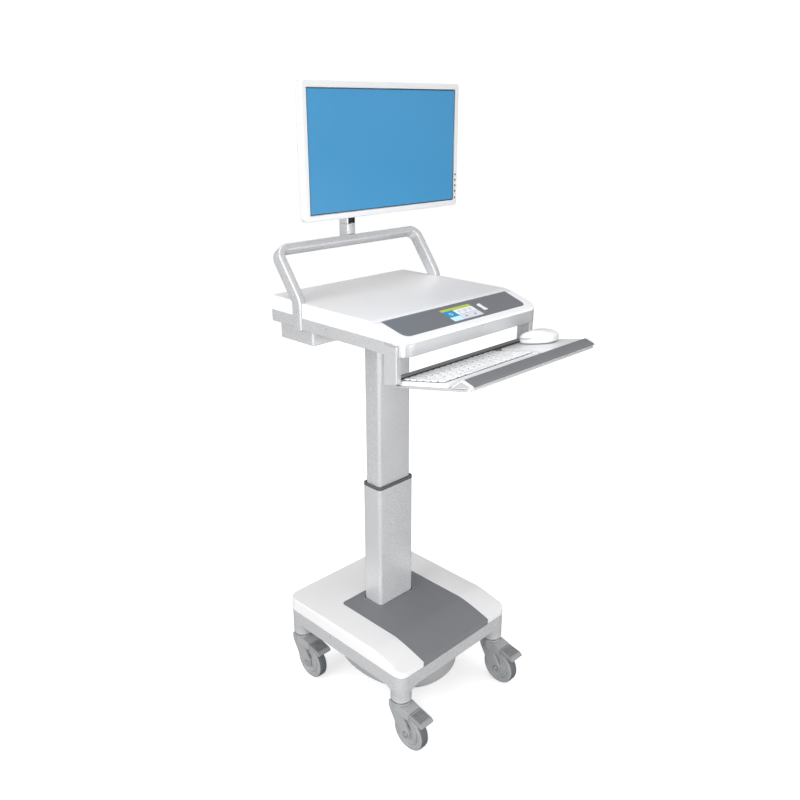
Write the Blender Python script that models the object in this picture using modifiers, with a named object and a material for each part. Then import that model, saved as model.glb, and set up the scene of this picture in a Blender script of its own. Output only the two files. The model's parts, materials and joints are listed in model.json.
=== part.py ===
"""A height-adjustable medication cart: caster base, lifting column, work head, keyboard tray and monitor.

Metres, +Z up. X runs to the user's right, the user stands on the -Y side and the floor is z = 0.
Lengths along Y are given from the column's centre, and the whole cart is shifted by COLUMN_Y, which puts
the origin under the middle of the cart.
"""

import math

import bmesh
import bpy
from mathutils import Matrix, Vector

# ---------------------------------------------------------------- driving dimensions
COLUMN_Y = 0.13608
GAP = 0.0003

# Base
BASE_HALF_X = 0.2086
BASE_FRONT = -0.2582
BASE_REAR = 0.1908
BASE_CORNER_R = 0.027
SKIRT_LOW = 0.172
SKIRT_TOP = 0.2085
SKIRT_WALL = 0.006
DECK_THICKNESS = 0.0055
POST_R = 0.0262
POST_LOW = 0.135
POST_BORE_R = 0.0062
POST_BORE_TOP = 0.172
COVER_TOP = 0.2485
COVER_FRONT_TOP = 0.225
COVER_BEND_Y = -0.172
COVER_WALL = 0.003
COVER_EDGE_R = 0.004
COVER_EDGE_Z = COVER_FRONT_TOP - 0.009
CENTRE_HALF_X = 0.128
CENTRE_REAR = 0.056
CENTRE_RIM_WIDTH = 0.008
CENTRE_RIM_HEIGHT = 0.0018
CENTRE_EDGE_R = 0.0025
CENTRE_HOLE_PLAY = 0.0015
PAN_TOP = 0.1716
PAN_LOW = 0.064
PAN_CENTRE_Y = (BASE_FRONT + BASE_REAR) / 2
PAN_MID = 0.125
PAN_TOP_HALF = (0.180, 0.200, 2.6)
PAN_MID_HALF = (0.151, 0.1805, 2.3)
PAN_LOW_HALF = (0.140, 0.174, 2.2)
PAN_WALL = 0.003
PAN_SIDES = 36
PAN_FOOT_R = 0.014
BATTERY_X = (-0.078, 0.078)
BATTERY_Y = (-0.130, -0.012)
BATTERY_TOP = 0.150
COUNTERWEIGHT_X = (-0.070, 0.070)
COUNTERWEIGHT_Y = (-0.004, 0.044)
COUNTERWEIGHT_TOP = 0.112

# Casters
POST_X = BASE_HALF_X - BASE_CORNER_R
POST_FRONT_Y = BASE_FRONT + BASE_CORNER_R
POST_REAR_Y = BASE_REAR - BASE_CORNER_R
TRAIL = 0.036
WHEEL_R = 0.050
WHEEL_HALF_W = 0.0120
WHEEL_SIDES = 28
TYRE_EDGE_R = 0.0025
HUB_R = 0.0437
HUB_DISH_R = (0.0145, 0.0330)
HUB_DISH_DEPTH = 0.003
HUB_BORE_R = 0.0043
AXLE_R = 0.0040
FORK_HALF_W = 0.0215
SLOT_HALF_W = 0.0133
NECK_R = 0.0245
COLLAR_R = 0.0258
NECK_LOW = 0.1036
NECK_TOP = 0.1235
KINGPIN_R = 0.0060
KINGPIN_TOP = 0.168
PEDAL_BACK_Y = -0.0470
PEDAL_PIVOT = (-0.0490, 0.1070)

# Column and lift
LOWER_TUBE = (0.0625, 0.0330, 0.0100, 0.0030)
UPPER_TUBE = (0.0565, 0.0270, 0.0080, 0.0025)
LOWER_TUBE_Z = (0.2088, 0.5985)
WIPER_Z = (0.5988, 0.6070)
UPPER_TUBE_Z = (0.5050, 1.0580)
GLIDE_HEIGHT = 0.060
GLIDE_THICKNESS = 0.0027
MOTOR_X = (-0.046, 0.046)
MOTOR_Y = (-0.0205, 0.0205)
ACTUATOR_BOX_TOP = 0.295
ACTUATOR_TUBE_TOP = 0.720
ACTUATOR_TUBE_R = 0.0125
ROD_BORE_R = 0.0085
ROD_R = 0.0080
ROD_LOW = 0.600

# Head
MOUNT_PLATE_X = (-0.085, 0.085)
MOUNT_PLATE_Y = (-0.060, 0.060)
MOUNT_PLATE_THICKNESS = 0.006
HEAD_LOW = 1.0525
HEAD_BAND_TOP = 1.081
HEAD_FRONT = -0.2897
HEAD_REAR = 0.1713
HEAD_HALF_X = 0.236
HEAD_REAR_HALF_X = 0.229
HEAD_FRONT_R = 0.035
HEAD_REAR_R = 0.010
HEAD_WALL = 0.004
HEAD_FLOOR = 0.0055
WORKTOP_Z = 1.1155
WORKTOP_WALL = 0.003
WORKTOP_EDGE_R = 0.0035
WORKTOP_BEND_Y = -0.190
WORKTOP_SLOPE = math.radians(16.7)
LEG_FRONT = 0.0400
BAR_DEPTH = 0.0325
BAR_THICKNESS = 0.0180
LEG_OUTER_X = 0.2400
LEG_CLEARANCE_REAR = 0.0028
BAR_LEAN = math.radians(36.0)
BEND_Z = 1.1238
BEND_R = 0.050
BEND_STEPS = 4
LEANING_LENGTH = 0.146
LEG_STRAIGHT = BEND_Z - HEAD_LOW - BEND_R * math.tan(BAR_LEAN / 2)
ARCH_TOP = LEG_STRAIGHT + BEND_R * BAR_LEAN + LEANING_LENGTH - BEND_R * math.tan(BAR_LEAN / 2)
ARCH_OUTER_R = 0.034
ARCH_INNER_R = 0.016
POST_HALF_X = 0.0130
POST_Y = (0.1262, 0.1600)
POST_SEAM_Z = 1.2665
SWIVEL_Y = (POST_Y[0] + POST_Y[1]) / 2
SWIVEL_PIN_R = 0.0080
BOX_X = 0.222
BOX_Y = (0.019, 0.142)
BOX_LOW = 1.0145
BRACKET_Y = (-0.2720, -0.2340)
BRACKET_Z = (0.9850, 1.0770)
BRACKET_X = (0.2225, 0.2375)

# Control panel, measured down the sloping front of the worktop
PANEL_NEAR = 0.0095
PANEL_FAR = 0.0835
PANEL_HALF_X = (0.212, 0.207)
PANEL_THICKNESS = 0.0015
DISPLAY_X = (-0.043, 0.058)
DISPLAY_DOWN = (0.0225, 0.0755)
ROCKER_X = 0.081
ROCKER_DOWN = 0.048
ROCKER_HALF = (0.0055, 0.0138)
ROCKER_PLAY = (0.0006, 0.0010)
ROCKER_RISE = 0.0016

# Monitor
MONITOR_Z = 1.4485
MONITOR_HALF = (0.2465, 0.1452)
SCREEN_HALF = (0.2332, 0.1312)
BEZEL_Y = (-0.0035, 0.0070)
HOUSING_EDGE_Y = 0.0190
HOUSING_BACK_Y = 0.0440
TILT_AXIS_Y = 0.1180
TILT_AXIS_Z = 1.4200
BARREL_R = 0.0118
BARREL_HALF_X = 0.0104
TILT_PIN_R = 0.0040
CORNER_R = 0.008
BULGE_HALF = (0.175, 0.098)
BULGE_R = (0.020, 0.014)
BUTTON_X = 0.2398
BUTTON_R = 0.0020
BUTTON_HOLE_R = 0.0025
BUTTON_Z = (1.3796, 1.3661, 1.3525, 1.3388)
POWER_BUTTON_Z = 1.3228

# Keyboard tray: s runs forward along the tray from TRAY_POINT, n is square to it
TRAY_POINT = (-0.272, 0.983)
TRAY_TILT = math.radians(11.3)
TRAY_HALF_X = 0.2216
TRAY_S = (-0.032, 0.192)
TRAY_THICKNESS = 0.005
HINGE_S = -0.0245
HINGE_N = 0.0125
PIVOT_PIN_R = 0.0030
KEYBOARD_X = (-0.2200, 0.0935)
KEYBOARD_S = (-0.0105, 0.1305)
KEYBOARD_N = (0.0053, 0.0150)
WELL_MARGINS = (0.005, 0.012, 0.006)
WELL_PLAY = 0.0006
KEY_PITCH_COLUMNS = 16
KEY_ROWS = 6
KEY_TOP_N = 0.0180
PAD_X = (0.0950, 0.2140)
PAD_S = (0.0180, 0.1640)
PAD_TOP_N = 0.0212
MOUSE_CENTRE = (0.1675, 0.0765)
MOUSE_YAW = math.radians(8.0)
MOUSE_SIZE = (0.056, 0.092, 0.032)
MOUSE_SPLIT = (0.006, 0.0133)
CLICK_PIVOT = (0.012, 0.0214)
SCROLL_CENTRE = (0.0, 0.0275, 0.0200)
SCROLL_R = 0.0078
SCROLL_HALF_W = 0.0030

SILVER = ((0.62, 0.625, 0.63), 0.38, 0.75)
WHITE = ((0.86, 0.86, 0.86), 0.30, 0.0)
DARK_GREY = ((0.20, 0.205, 0.22), 0.50, 0.0)
CASTER_GREY = ((0.47, 0.475, 0.475), 0.45, 0.0)
TREAD_GREY = ((0.17, 0.175, 0.185), 0.70, 0.0)
BLACK = ((0.02, 0.02, 0.02), 0.50, 0.0)
STEEL = ((0.50, 0.50, 0.50), 0.30, 1.0)
SCREEN_BLUE = ((0.07, 0.31, 0.58), 0.15, 0.0)
DISPLAY_WHITE = ((0.80, 0.82, 0.84), 0.15, 0.0)

parts = bpy.data.collections.new("medication_cart")
cutters = bpy.data.collections.new("cutters")
bodies = {}


# ---------------------------------------------------------------- scene and helpers
def clear_scene():
    for obj in list(bpy.data.objects):
        bpy.data.objects.remove(obj, do_unlink=True)
    bpy.context.scene.collection.children.link(parts)
    bpy.context.scene.collection.children.link(cutters)


def add_body(name, pivot, parent=None):
    """An empty on the joint's axis that carries the pieces of one rigid body."""
    empty = bpy.data.objects.new("body_" + name, None)
    empty.empty_display_size = 0.03
    parts.objects.link(empty)
    origin = Vector((0.0, -COLUMN_Y, 0.0))
    if parent:
        empty.parent = bodies[parent][0]
        origin = bodies[parent][1]
    empty.location = Vector(pivot) - origin
    bodies[name] = (empty, Vector(pivot))


def finish_material(name, finish):
    colour, roughness, metallic = finish
    surface = bpy.data.materials.new(name)
    surface.use_nodes = True
    shader = surface.node_tree.nodes["Principled BSDF"]
    shader.inputs["Base Color"].default_value = (*colour, 1.0)
    shader.inputs["Roughness"].default_value = roughness
    shader.inputs["Metallic"].default_value = metallic
    surface.diffuse_color = (*colour, 1.0)
    return surface


def part(name, mesh, body, finish):
    """Puts a mesh in the cart as a named piece, with its origin on its body's pivot."""
    empty, pivot = bodies[body]
    mesh.transform(Matrix.Translation(-pivot))
    mesh.name = name
    mesh.materials.clear()
    mesh.materials.append(finish_material(name, finish))
    mesh.shade_smooth()
    mesh.set_sharp_from_angle(angle=math.radians(32))
    obj = bpy.data.objects.new(name, mesh)
    parts.objects.link(obj)
    obj.parent = empty
    return obj


def cutter(mesh, obj):
    tool = bpy.data.objects.new("cutter_" + obj.name, mesh)
    cutters.objects.link(tool)
    tool.hide_render = True
    tool.display_type = "WIRE"
    tool.location = (0.0, COLUMN_Y, 0.0)
    return tool


def combine(obj, mesh, operation):
    modifier = obj.modifiers.new(operation.lower(), "BOOLEAN")
    modifier.operation = operation
    modifier.solver = "EXACT"
    modifier.object = cutter(mesh, obj)


def cut(obj, *meshes):
    for mesh in meshes:
        combine(obj, mesh, "DIFFERENCE")


def join(obj, *meshes):
    for mesh in meshes:
        combine(obj, mesh, "UNION")


def baked(obj):
    """The object's mesh with its Booleans applied, after which the object and its cutters are removed."""
    bpy.context.view_layer.update()
    graph = bpy.context.evaluated_depsgraph_get()
    mesh = bpy.data.meshes.new_from_object(obj.evaluated_get(graph))
    mesh.transform(Matrix.Translation((0.0, -COLUMN_Y, 0.0)) @ obj.matrix_world)
    for modifier in obj.modifiers:
        bpy.data.objects.remove(modifier.object)
    bpy.data.objects.remove(obj)
    return mesh


def loose(name, mesh):
    """A mesh in the cart's frame that isn't a finished piece yet, so that Booleans can work on it."""
    obj = bpy.data.objects.new(name, mesh)
    cutters.objects.link(obj)
    obj.location = (0.0, COLUMN_Y, 0.0)
    return obj


def mesh_from(bm):
    bmesh.ops.recalc_face_normals(bm, faces=bm.faces)
    if bm.calc_volume(signed=True) < 0:
        bmesh.ops.reverse_faces(bm, faces=bm.faces)
    mesh = bpy.data.meshes.new("solid")
    bm.to_mesh(mesh)
    bm.free()
    return mesh


def box(x, y, z):
    bm = bmesh.new()
    bmesh.ops.create_cube(bm, size=1.0)
    size = Vector((x[1] - x[0], y[1] - y[0], z[1] - z[0]))
    middle = Vector((x[0] + x[1], y[0] + y[1], z[0] + z[1])) / 2
    bm.transform(Matrix.Translation(middle) @ Matrix.Diagonal((*size, 1.0)))
    return mesh_from(bm)


AXIS_TURN = {
    "X": Matrix(((0, 0, 1, 0), (1, 0, 0, 0), (0, 1, 0, 0), (0, 0, 0, 1))),
    "Y": Matrix(((1, 0, 0, 0), (0, 0, 1, 0), (0, -1, 0, 0), (0, 0, 0, 1))),
    "Z": Matrix.Identity(4),
}
AXIS_VECTOR = {"X": Vector((1, 0, 0)), "Y": Vector((0, 1, 0)), "Z": Vector((0, 0, 1))}


def cylinder(radius, span, centre, axis="Z", segments=32):
    """A cylinder along an axis; centre gives its place across that axis."""
    bm = bmesh.new()
    bmesh.ops.create_cone(
        bm, cap_ends=True, segments=segments, radius1=radius, radius2=radius, depth=span[1] - span[0]
    )
    middle = Vector(centre) + AXIS_VECTOR[axis] * (span[0] + span[1]) / 2
    bm.transform(Matrix.Translation(middle) @ AXIS_TURN[axis])
    return mesh_from(bm)


def fillet(corners, steps=4):
    """The points of a polygon of (a, b, radius) corners, with each corner rounded to its radius."""
    points = []
    for index, (a, b, radius) in enumerate(corners):
        here = Vector((a, b))
        if radius <= 0:
            points.append(here)
            continue
        before = (Vector(corners[index - 1][:2]) - here).normalized()
        after = (Vector(corners[(index + 1) % len(corners)][:2]) - here).normalized()
        half = before.angle(after) / 2
        centre = here + (before + after).normalized() * (radius / math.sin(half))
        start = here + before * (radius / math.tan(half)) - centre
        end = here + after * (radius / math.tan(half)) - centre
        sweep = -start.angle_signed(end)
        for step in range(steps + 1):
            points.append(centre + Matrix.Rotation(sweep * step / steps, 2) @ start)
    return points


def rectangle(a, b, radius, steps=4):
    corners = ((a[0], b[0]), (a[1], b[0]), (a[1], b[1]), (a[0], b[1]))
    return fillet([(*corner, radius) for corner in corners], steps)


def prism(outline, span, axis="Z"):
    """An outline extruded along an axis. It is in (x, y) for Z, (y, z) for X and (x, z) for Y."""
    curve = bpy.data.curves.new("outline", "CURVE")
    curve.dimensions = "2D"
    curve.fill_mode = "BOTH"
    curve.extrude = (span[1] - span[0]) / 2
    spline = curve.splines.new("POLY")
    spline.points.add(len(outline) - 1)
    for point, place in zip(spline.points, outline):
        point.co = (place[0], place[1], 0.0, 1.0)
    spline.use_cyclic_u = True
    guide = bpy.data.objects.new("outline", curve)
    cutters.objects.link(guide)
    bpy.context.view_layer.update()
    graph = bpy.context.evaluated_depsgraph_get()
    mesh = bpy.data.meshes.new_from_object(guide.evaluated_get(graph))
    bpy.data.objects.remove(guide)
    bm = bmesh.new()
    bm.from_mesh(mesh)
    bmesh.ops.remove_doubles(bm, verts=bm.verts, dist=1e-5)
    turn = AXIS_TURN[axis]
    if axis == "Y":
        turn = Matrix(((1, 0, 0, 0), (0, 0, -1, 0), (0, 1, 0, 0), (0, 0, 0, 1)))
    bm.transform(Matrix.Translation(AXIS_VECTOR[axis] * (span[0] + span[1]) / 2) @ turn)
    return mesh_from(bm)


def round_edges(mesh, width, segments, chosen):
    """Rounds the edges for which chosen(first corner, second corner) is true."""
    bm = bmesh.new()
    bm.from_mesh(mesh)
    bmesh.ops.dissolve_limit(bm, angle_limit=math.radians(0.5), verts=bm.verts, edges=bm.edges)
    edges = [edge for edge in bm.edges if chosen(edge.verts[0].co, edge.verts[1].co)]
    bmesh.ops.bevel(bm, geom=edges, offset=width, segments=segments, affect="EDGES", profile=0.5)
    return mesh_from(bm)


def above(height):
    return lambda first, second: min(first.z, second.z) > height


def below(height):
    return lambda first, second: max(first.z, second.z) < height


def outside_y(low):
    """Chooses edges that lie in the plane y = low."""
    return lambda first, second: max(abs(first.y - low), abs(second.y - low)) < 1e-5


def tube(section, span, grow=0.0):
    """A rounded rectangular tube open at both ends; section is half X, half Y, corner radius, wall."""
    half_x, half_y, radius, wall = section
    outer = rectangle((-half_x - grow, half_x + grow), (-half_y - grow, half_y + grow), radius + grow)
    inner = rectangle((wall - half_x, half_x - wall), (wall - half_y, half_y - wall), radius - wall)
    return prism(outer, span), prism(inner, (span[0] - 0.01, span[1] + 0.01))


# ---------------------------------------------------------------- base
def base_outline(inset=0.0):
    return rectangle(
        (-BASE_HALF_X + inset, BASE_HALF_X - inset),
        (BASE_FRONT + inset, BASE_REAR - inset),
        BASE_CORNER_R - inset,
        4,
    )


def post_places():
    for end, y in (("front", POST_FRONT_Y), ("rear", POST_REAR_Y)):
        for side, x in (("left", -POST_X), ("right", POST_X)):
            yield end + "_" + side, x, y


def base_frame():
    """The cast skirt with its deck, and the four posts that hold the casters."""
    frame = part("base_frame", prism(base_outline(), (SKIRT_LOW, SKIRT_TOP)), "base", SILVER)
    cut(frame, prism(base_outline(SKIRT_WALL), (SKIRT_LOW - 0.01, SKIRT_TOP - DECK_THICKNESS)))
    for _, x, y in post_places():
        join(frame, cylinder(POST_R, (POST_LOW, SKIRT_TOP - 0.002), (x, y, 0), segments=24))
    for _, x, y in post_places():
        cut(frame, cylinder(POST_BORE_R, (POST_LOW - 0.01, POST_BORE_TOP), (x, y, 0), segments=16))


def cover_profile(drop=0.0):
    """Side view of the space above the base covers: flat at the back, falling towards the front."""
    return [
        (BASE_REAR + 0.02, COVER_TOP - drop),
        (COVER_BEND_Y, COVER_TOP - drop),
        (COVER_BEND_Y - 0.03, COVER_TOP - drop - 0.0055),
        (BASE_FRONT - 0.02, COVER_FRONT_TOP - drop - 0.0052),
        (BASE_FRONT - 0.02, COVER_TOP + 0.05),
        (BASE_REAR + 0.02, COVER_TOP + 0.05),
    ]


def cover_block(outline, drop, low):
    """An outline carried up to the covers' sloping top."""
    block = loose("cover_block", prism(outline, (low, COVER_TOP + 0.02)))
    cut(block, prism(cover_profile(drop), (-0.3, 0.3), "X"))
    return baked(block)


def side_cover_outline(inset=0.0):
    notch = CENTRE_HALF_X + inset
    front = BASE_FRONT + inset
    radius = BASE_CORNER_R - inset
    half = BASE_HALF_X - inset
    rear = BASE_REAR - inset
    back = CENTRE_REAR + inset
    return fillet(
        [
            (-half, front, radius),
            (-notch, front, 0),
            (-notch, back, 0.012 + inset),
            (notch, back, 0.012 + inset),
            (notch, front, 0),
            (half, front, radius),
            (half, rear, radius),
            (-half, rear, radius),
        ],
        5,
    )


def base_cover():
    """The white shell over the base, cut away in the middle for the centre cover."""
    low = SKIRT_TOP + GAP
    block = cover_block(side_cover_outline(), 0.0, low)
    shell = round_edges(block, COVER_EDGE_R, 2, above(COVER_EDGE_Z))
    cover = part("base_cover", shell, "base", WHITE)
    cut(cover, cover_block(side_cover_outline(COVER_WALL), COVER_WALL, low - 0.01))


def centre_cover_outline(inset=0.0):
    half = CENTRE_HALF_X - 0.0005 - inset
    return fillet(
        [
            (-half, BASE_FRONT + inset, 0),
            (half, BASE_FRONT + inset, 0),
            (half, CENTRE_REAR - 0.0005 - inset, 0.0115 - inset),
            (-half, CENTRE_REAR - 0.0005 - inset, 0.0115 - inset),
        ],
        5,
    )


def round_column(grow):
    """The lower tube's outline, grown on every side."""
    half_x, half_y, radius, _ = LOWER_TUBE
    return rectangle((-half_x - grow, half_x + grow), (-half_y - grow, half_y + grow), radius + grow)


def base_centre_cover():
    """The dark cover that runs from behind the column to the front edge, with a rim round the column."""
    low = SKIRT_TOP + GAP
    block = cover_block(centre_cover_outline(), 0.0, low)
    shell = round_edges(block, CENTRE_EDGE_R, 2, above(COVER_EDGE_Z))
    cover = part("base_centre_cover", shell, "base", DARK_GREY)
    cut(cover, cover_block(centre_cover_outline(COVER_WALL), COVER_WALL, low - 0.01))
    join(cover, prism(round_column(CENTRE_RIM_WIDTH), (COVER_TOP - 0.001, COVER_TOP + CENTRE_RIM_HEIGHT)))
    cut(cover, prism(round_column(CENTRE_HOLE_PLAY), (low - 0.01, COVER_TOP + 0.01)))


def pan_ring(height, half, wall):
    """Points round the pan at one height, on a curve between an ellipse and a rectangle."""
    half_x, half_y, squareness = half
    for step in range(PAN_SIDES):
        angle = 2 * math.pi * (step + 0.5) / PAN_SIDES
        across, along = math.cos(angle), math.sin(angle)
        stretch = (abs(across) ** squareness + abs(along) ** squareness) ** (-1 / squareness)
        yield ((half_x - wall) * across * stretch, (half_y - wall) * along * stretch + PAN_CENTRE_Y, height)


def pan_solid(wall, low, top):
    """A tub whose sides widen upwards in two steps."""
    bm = bmesh.new()
    levels = ((low, PAN_LOW_HALF), (PAN_MID, PAN_MID_HALF), (top, PAN_TOP_HALF))
    rings = [[bm.verts.new(point) for point in pan_ring(height, half, wall)] for height, half in levels]
    bm.faces.new(rings[0][::-1])
    bm.faces.new(rings[-1])
    for lower, upper in zip(rings, rings[1:]):
        for index in range(PAN_SIDES):
            following = (index + 1) % PAN_SIDES
            bm.faces.new((lower[index], lower[following], upper[following], upper[index]))
    return mesh_from(bm)


def underpan():
    """The tub under the deck that holds the battery and the counterweight."""
    shell = round_edges(pan_solid(0.0, PAN_LOW, PAN_TOP), PAN_FOOT_R, 3, below(PAN_LOW + 1e-4))
    pan = part("underpan", shell, "base", SILVER)
    cut(pan, pan_solid(PAN_WALL + 0.004, PAN_LOW + PAN_WALL, PAN_TOP + 0.01))


def base_contents():
    """The battery and the steel counterweight that stand on the floor of the pan."""
    floor = PAN_LOW + PAN_WALL + GAP
    pack = box(BATTERY_X, BATTERY_Y, (floor, BATTERY_TOP))
    part("battery_pack", round_edges(pack, 0.004, 1, above(BATTERY_TOP - 0.001)), "base", BLACK)
    block = box(COUNTERWEIGHT_X, COUNTERWEIGHT_Y, (floor, COUNTERWEIGHT_TOP))
    part("counterweight", block, "base", STEEL)


# ---------------------------------------------------------------- casters
def fork_profile():
    """Side view of the fork, with the wheel ahead of the swivel axis at -Y."""
    return fillet(
        [
            (0.0240, 0.1240, 0),
            (0.0240, 0.1040, 0.020),
            (-0.0130, 0.0430, 0.008),
            (-0.0270, 0.0365, 0.010),
            (-0.0450, 0.0370, 0.010),
            (-0.0490, 0.0560, 0.010),
            (-0.0250, 0.0960, 0.004),
            (-0.0462, 0.0975, 0),
            (-0.0462, 0.1170, 0),
            (-0.0230, 0.1240, 0.004),
        ],
        3,
    )


def caster_fork():
    """The fork casting with its collar, kingpin, hood and riveted axle, at the origin's swivel axis."""
    fork = loose("caster_fork", prism(fork_profile(), (-FORK_HALF_W, FORK_HALF_W), "X"))
    join(
        fork,
        cylinder(NECK_R, (NECK_LOW, NECK_TOP + 0.001), (0, 0, 0), segments=20),
        cylinder(COLLAR_R, (NECK_TOP, POST_LOW - 0.0006), (0, 0, 0), segments=20),
        cylinder(KINGPIN_R, (POST_LOW - 0.005, KINGPIN_TOP), (0, 0, 0), segments=16),
    )
    cut(fork, box((-SLOT_HALF_W, SLOT_HALF_W), (-0.110, 0.0172), (0.010, NECK_LOW)))
    reach = FORK_HALF_W - 0.002
    join(fork, cylinder(AXLE_R, (-reach, reach), (0, -TRAIL, WHEEL_R), "X", 12))
    return baked(fork)


def caster_tyre():
    disc = cylinder(WHEEL_R, (-WHEEL_HALF_W, WHEEL_HALF_W), (0, 0, 0), "X", WHEEL_SIDES)
    disc = round_edges(disc, TYRE_EDGE_R, 1, lambda first, second: abs(first.x - second.x) < 1e-5)
    tyre = loose("tyre", disc)
    cut(tyre, cylinder(HUB_R + GAP, (-0.02, 0.02), (0, 0, 0), "X", WHEEL_SIDES))
    return baked(tyre)


def caster_hub():
    """The wheel's disc, dished on both sides, with the axle's bore."""
    half = WHEEL_HALF_W - 0.0006
    hub = loose("hub", cylinder(HUB_R, (-half, half), (0, 0, 0), "X", WHEEL_SIDES))
    for side in (-1, 1):
        span = sorted((side * (half - HUB_DISH_DEPTH), side * (half + 0.01)))
        ring = loose("dish", cylinder(HUB_DISH_R[1], span, (0, 0, 0), "X", 20))
        core = sorted((side * (half - 0.01), side * (half + 0.02)))
        cut(ring, cylinder(HUB_DISH_R[0], core, (0, 0, 0), "X", 12))
        cut(hub, baked(ring))
    cut(hub, cylinder(HUB_BORE_R, (-0.02, 0.02), (0, 0, 0), "X", 12))
    return baked(hub)


def pedal_mesh():
    """The brake pedal: the outer half of the hood over the wheel."""
    outline = fillet(
        [
            (PEDAL_BACK_Y, 0.1166, 0),
            (PEDAL_BACK_Y, 0.1040, 0),
            (-0.0895, 0.0965, 0.003),
            (-0.0945, 0.1015, 0.002),
            (-0.0870, 0.1095, 0.004),
        ],
        3,
    )
    pedal = prism(outline, (-FORK_HALF_W, FORK_HALF_W), "X")
    return round_edges(
        pedal,
        0.0020,
        1,
        lambda first, second: max(first.y, second.y) < PEDAL_BACK_Y - 1e-4 and abs(first.x - second.x) < 1e-5,
    )


def casters():
    fork, tyre, hub, pedal = caster_fork(), caster_tyre(), caster_hub(), pedal_mesh()
    for place, x, y in post_places():
        hub_centre = (x, y - TRAIL, WHEEL_R)
        add_body("caster_" + place, (x, y, NECK_TOP), "base")
        add_body("wheel_" + place, hub_centre, "caster_" + place)
        add_body("pedal_" + place, (x, y + PEDAL_PIVOT[0], PEDAL_PIVOT[1]), "caster_" + place)
        for kind, mesh, body, shift, finish in (
            ("caster_fork_", fork, "caster_", (x, y, 0.0), CASTER_GREY),
            ("caster_tyre_", tyre, "wheel_", hub_centre, TREAD_GREY),
            ("caster_hub_", hub, "wheel_", hub_centre, CASTER_GREY),
            ("brake_pedal_", pedal, "pedal_", (x, y, 0.0), CASTER_GREY),
        ):
            own = mesh.copy()
            own.transform(Matrix.Translation(shift))
            part(kind + place, own, body + place, finish)


# ---------------------------------------------------------------- column and lift
def column():
    outer, inner = tube(LOWER_TUBE, LOWER_TUBE_Z)
    cut(part("column_lower_tube", outer, "base", SILVER), inner)
    outer, inner = tube((*UPPER_TUBE[:3], -0.0006), WIPER_Z, LOWER_TUBE[0] - UPPER_TUBE[0] + 0.0005)
    cut(part("column_wiper_ring", outer, "base", BLACK), inner)
    outer, inner = tube(UPPER_TUBE, UPPER_TUBE_Z)
    cut(part("column_upper_tube", outer, "lift", SILVER), inner)
    glide_span = (UPPER_TUBE_Z[0], UPPER_TUBE_Z[0] + GLIDE_HEIGHT)
    outer, inner = tube((*UPPER_TUBE[:3], -GAP), glide_span, GLIDE_THICKNESS)
    cut(part("column_glide_sleeve", outer, "lift", BLACK), inner)


def actuator():
    """The motor housing and fixed tube in the base, and the rod that pushes the head up."""
    floor = SKIRT_TOP + GAP
    motor = round_edges(box(MOTOR_X, MOTOR_Y, (floor, ACTUATOR_BOX_TOP)), 0.004, 1, above(floor + 0.001))
    housing = part("lift_actuator", motor, "base", BLACK)
    sheath = (ACTUATOR_BOX_TOP - 0.01, ACTUATOR_TUBE_TOP)
    join(housing, cylinder(ACTUATOR_TUBE_R, sheath, (0, 0, 0), segments=24))
    bore = (ACTUATOR_BOX_TOP, ACTUATOR_TUBE_TOP + 0.01)
    cut(housing, cylinder(ROD_BORE_R, bore, (0, 0, 0), segments=24))
    rod = cylinder(ROD_R, (ROD_LOW, UPPER_TUBE_Z[1]), (0, 0, 0), segments=24)
    part("lift_rod", rod, "lift", STEEL)
    top = UPPER_TUBE_Z[1] + GAP
    plate = rectangle(MOUNT_PLATE_X, MOUNT_PLATE_Y, 0.010, 2)
    part("head_mount_plate", prism(plate, (top, top + MOUNT_PLATE_THICKNESS)), "lift", STEEL)


# ---------------------------------------------------------------- head
def head_outline(inset=0.0):
    """Plan of the head: wide in front of the handle's legs, slightly narrower behind them."""
    wide, narrow = HEAD_HALF_X - inset, HEAD_REAR_HALF_X - inset
    step = LEG_FRONT + BAR_DEPTH / 2
    front, rear = HEAD_FRONT + inset, HEAD_REAR - inset
    front_r, rear_r = HEAD_FRONT_R - inset, HEAD_REAR_R - inset / 2
    return fillet(
        [
            (-wide, front, front_r),
            (wide, front, front_r),
            (wide, step, 0),
            (narrow, step, 0),
            (narrow, rear, rear_r),
            (-narrow, rear, rear_r),
            (-narrow, step, 0),
            (-wide, step, 0),
        ],
        6,
    )


def leg_notches(clearance, behind):
    """The two spaces that the handle's legs take out of the head's sides."""
    inner = LEG_OUTER_X - BAR_THICKNESS - clearance
    span = (LEG_FRONT - clearance, LEG_FRONT + BAR_DEPTH + behind)
    for side in (-1, 1):
        yield box(sorted((side * inner, side * 0.26)), span, (HEAD_LOW - 0.01, WORKTOP_Z + 0.01))


def leg_pockets(low, high):
    """Solid walls that close the sides of the head round the handle's legs."""
    inner = LEG_OUTER_X - BAR_THICKNESS
    for side in (-1, 1):
        yield box(
            sorted((side * (inner - 0.0065), side * (HEAD_REAR_HALF_X - 0.002))),
            (LEG_FRONT - 0.006, LEG_FRONT + BAR_DEPTH + 0.008),
            (low, high),
        )


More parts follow.
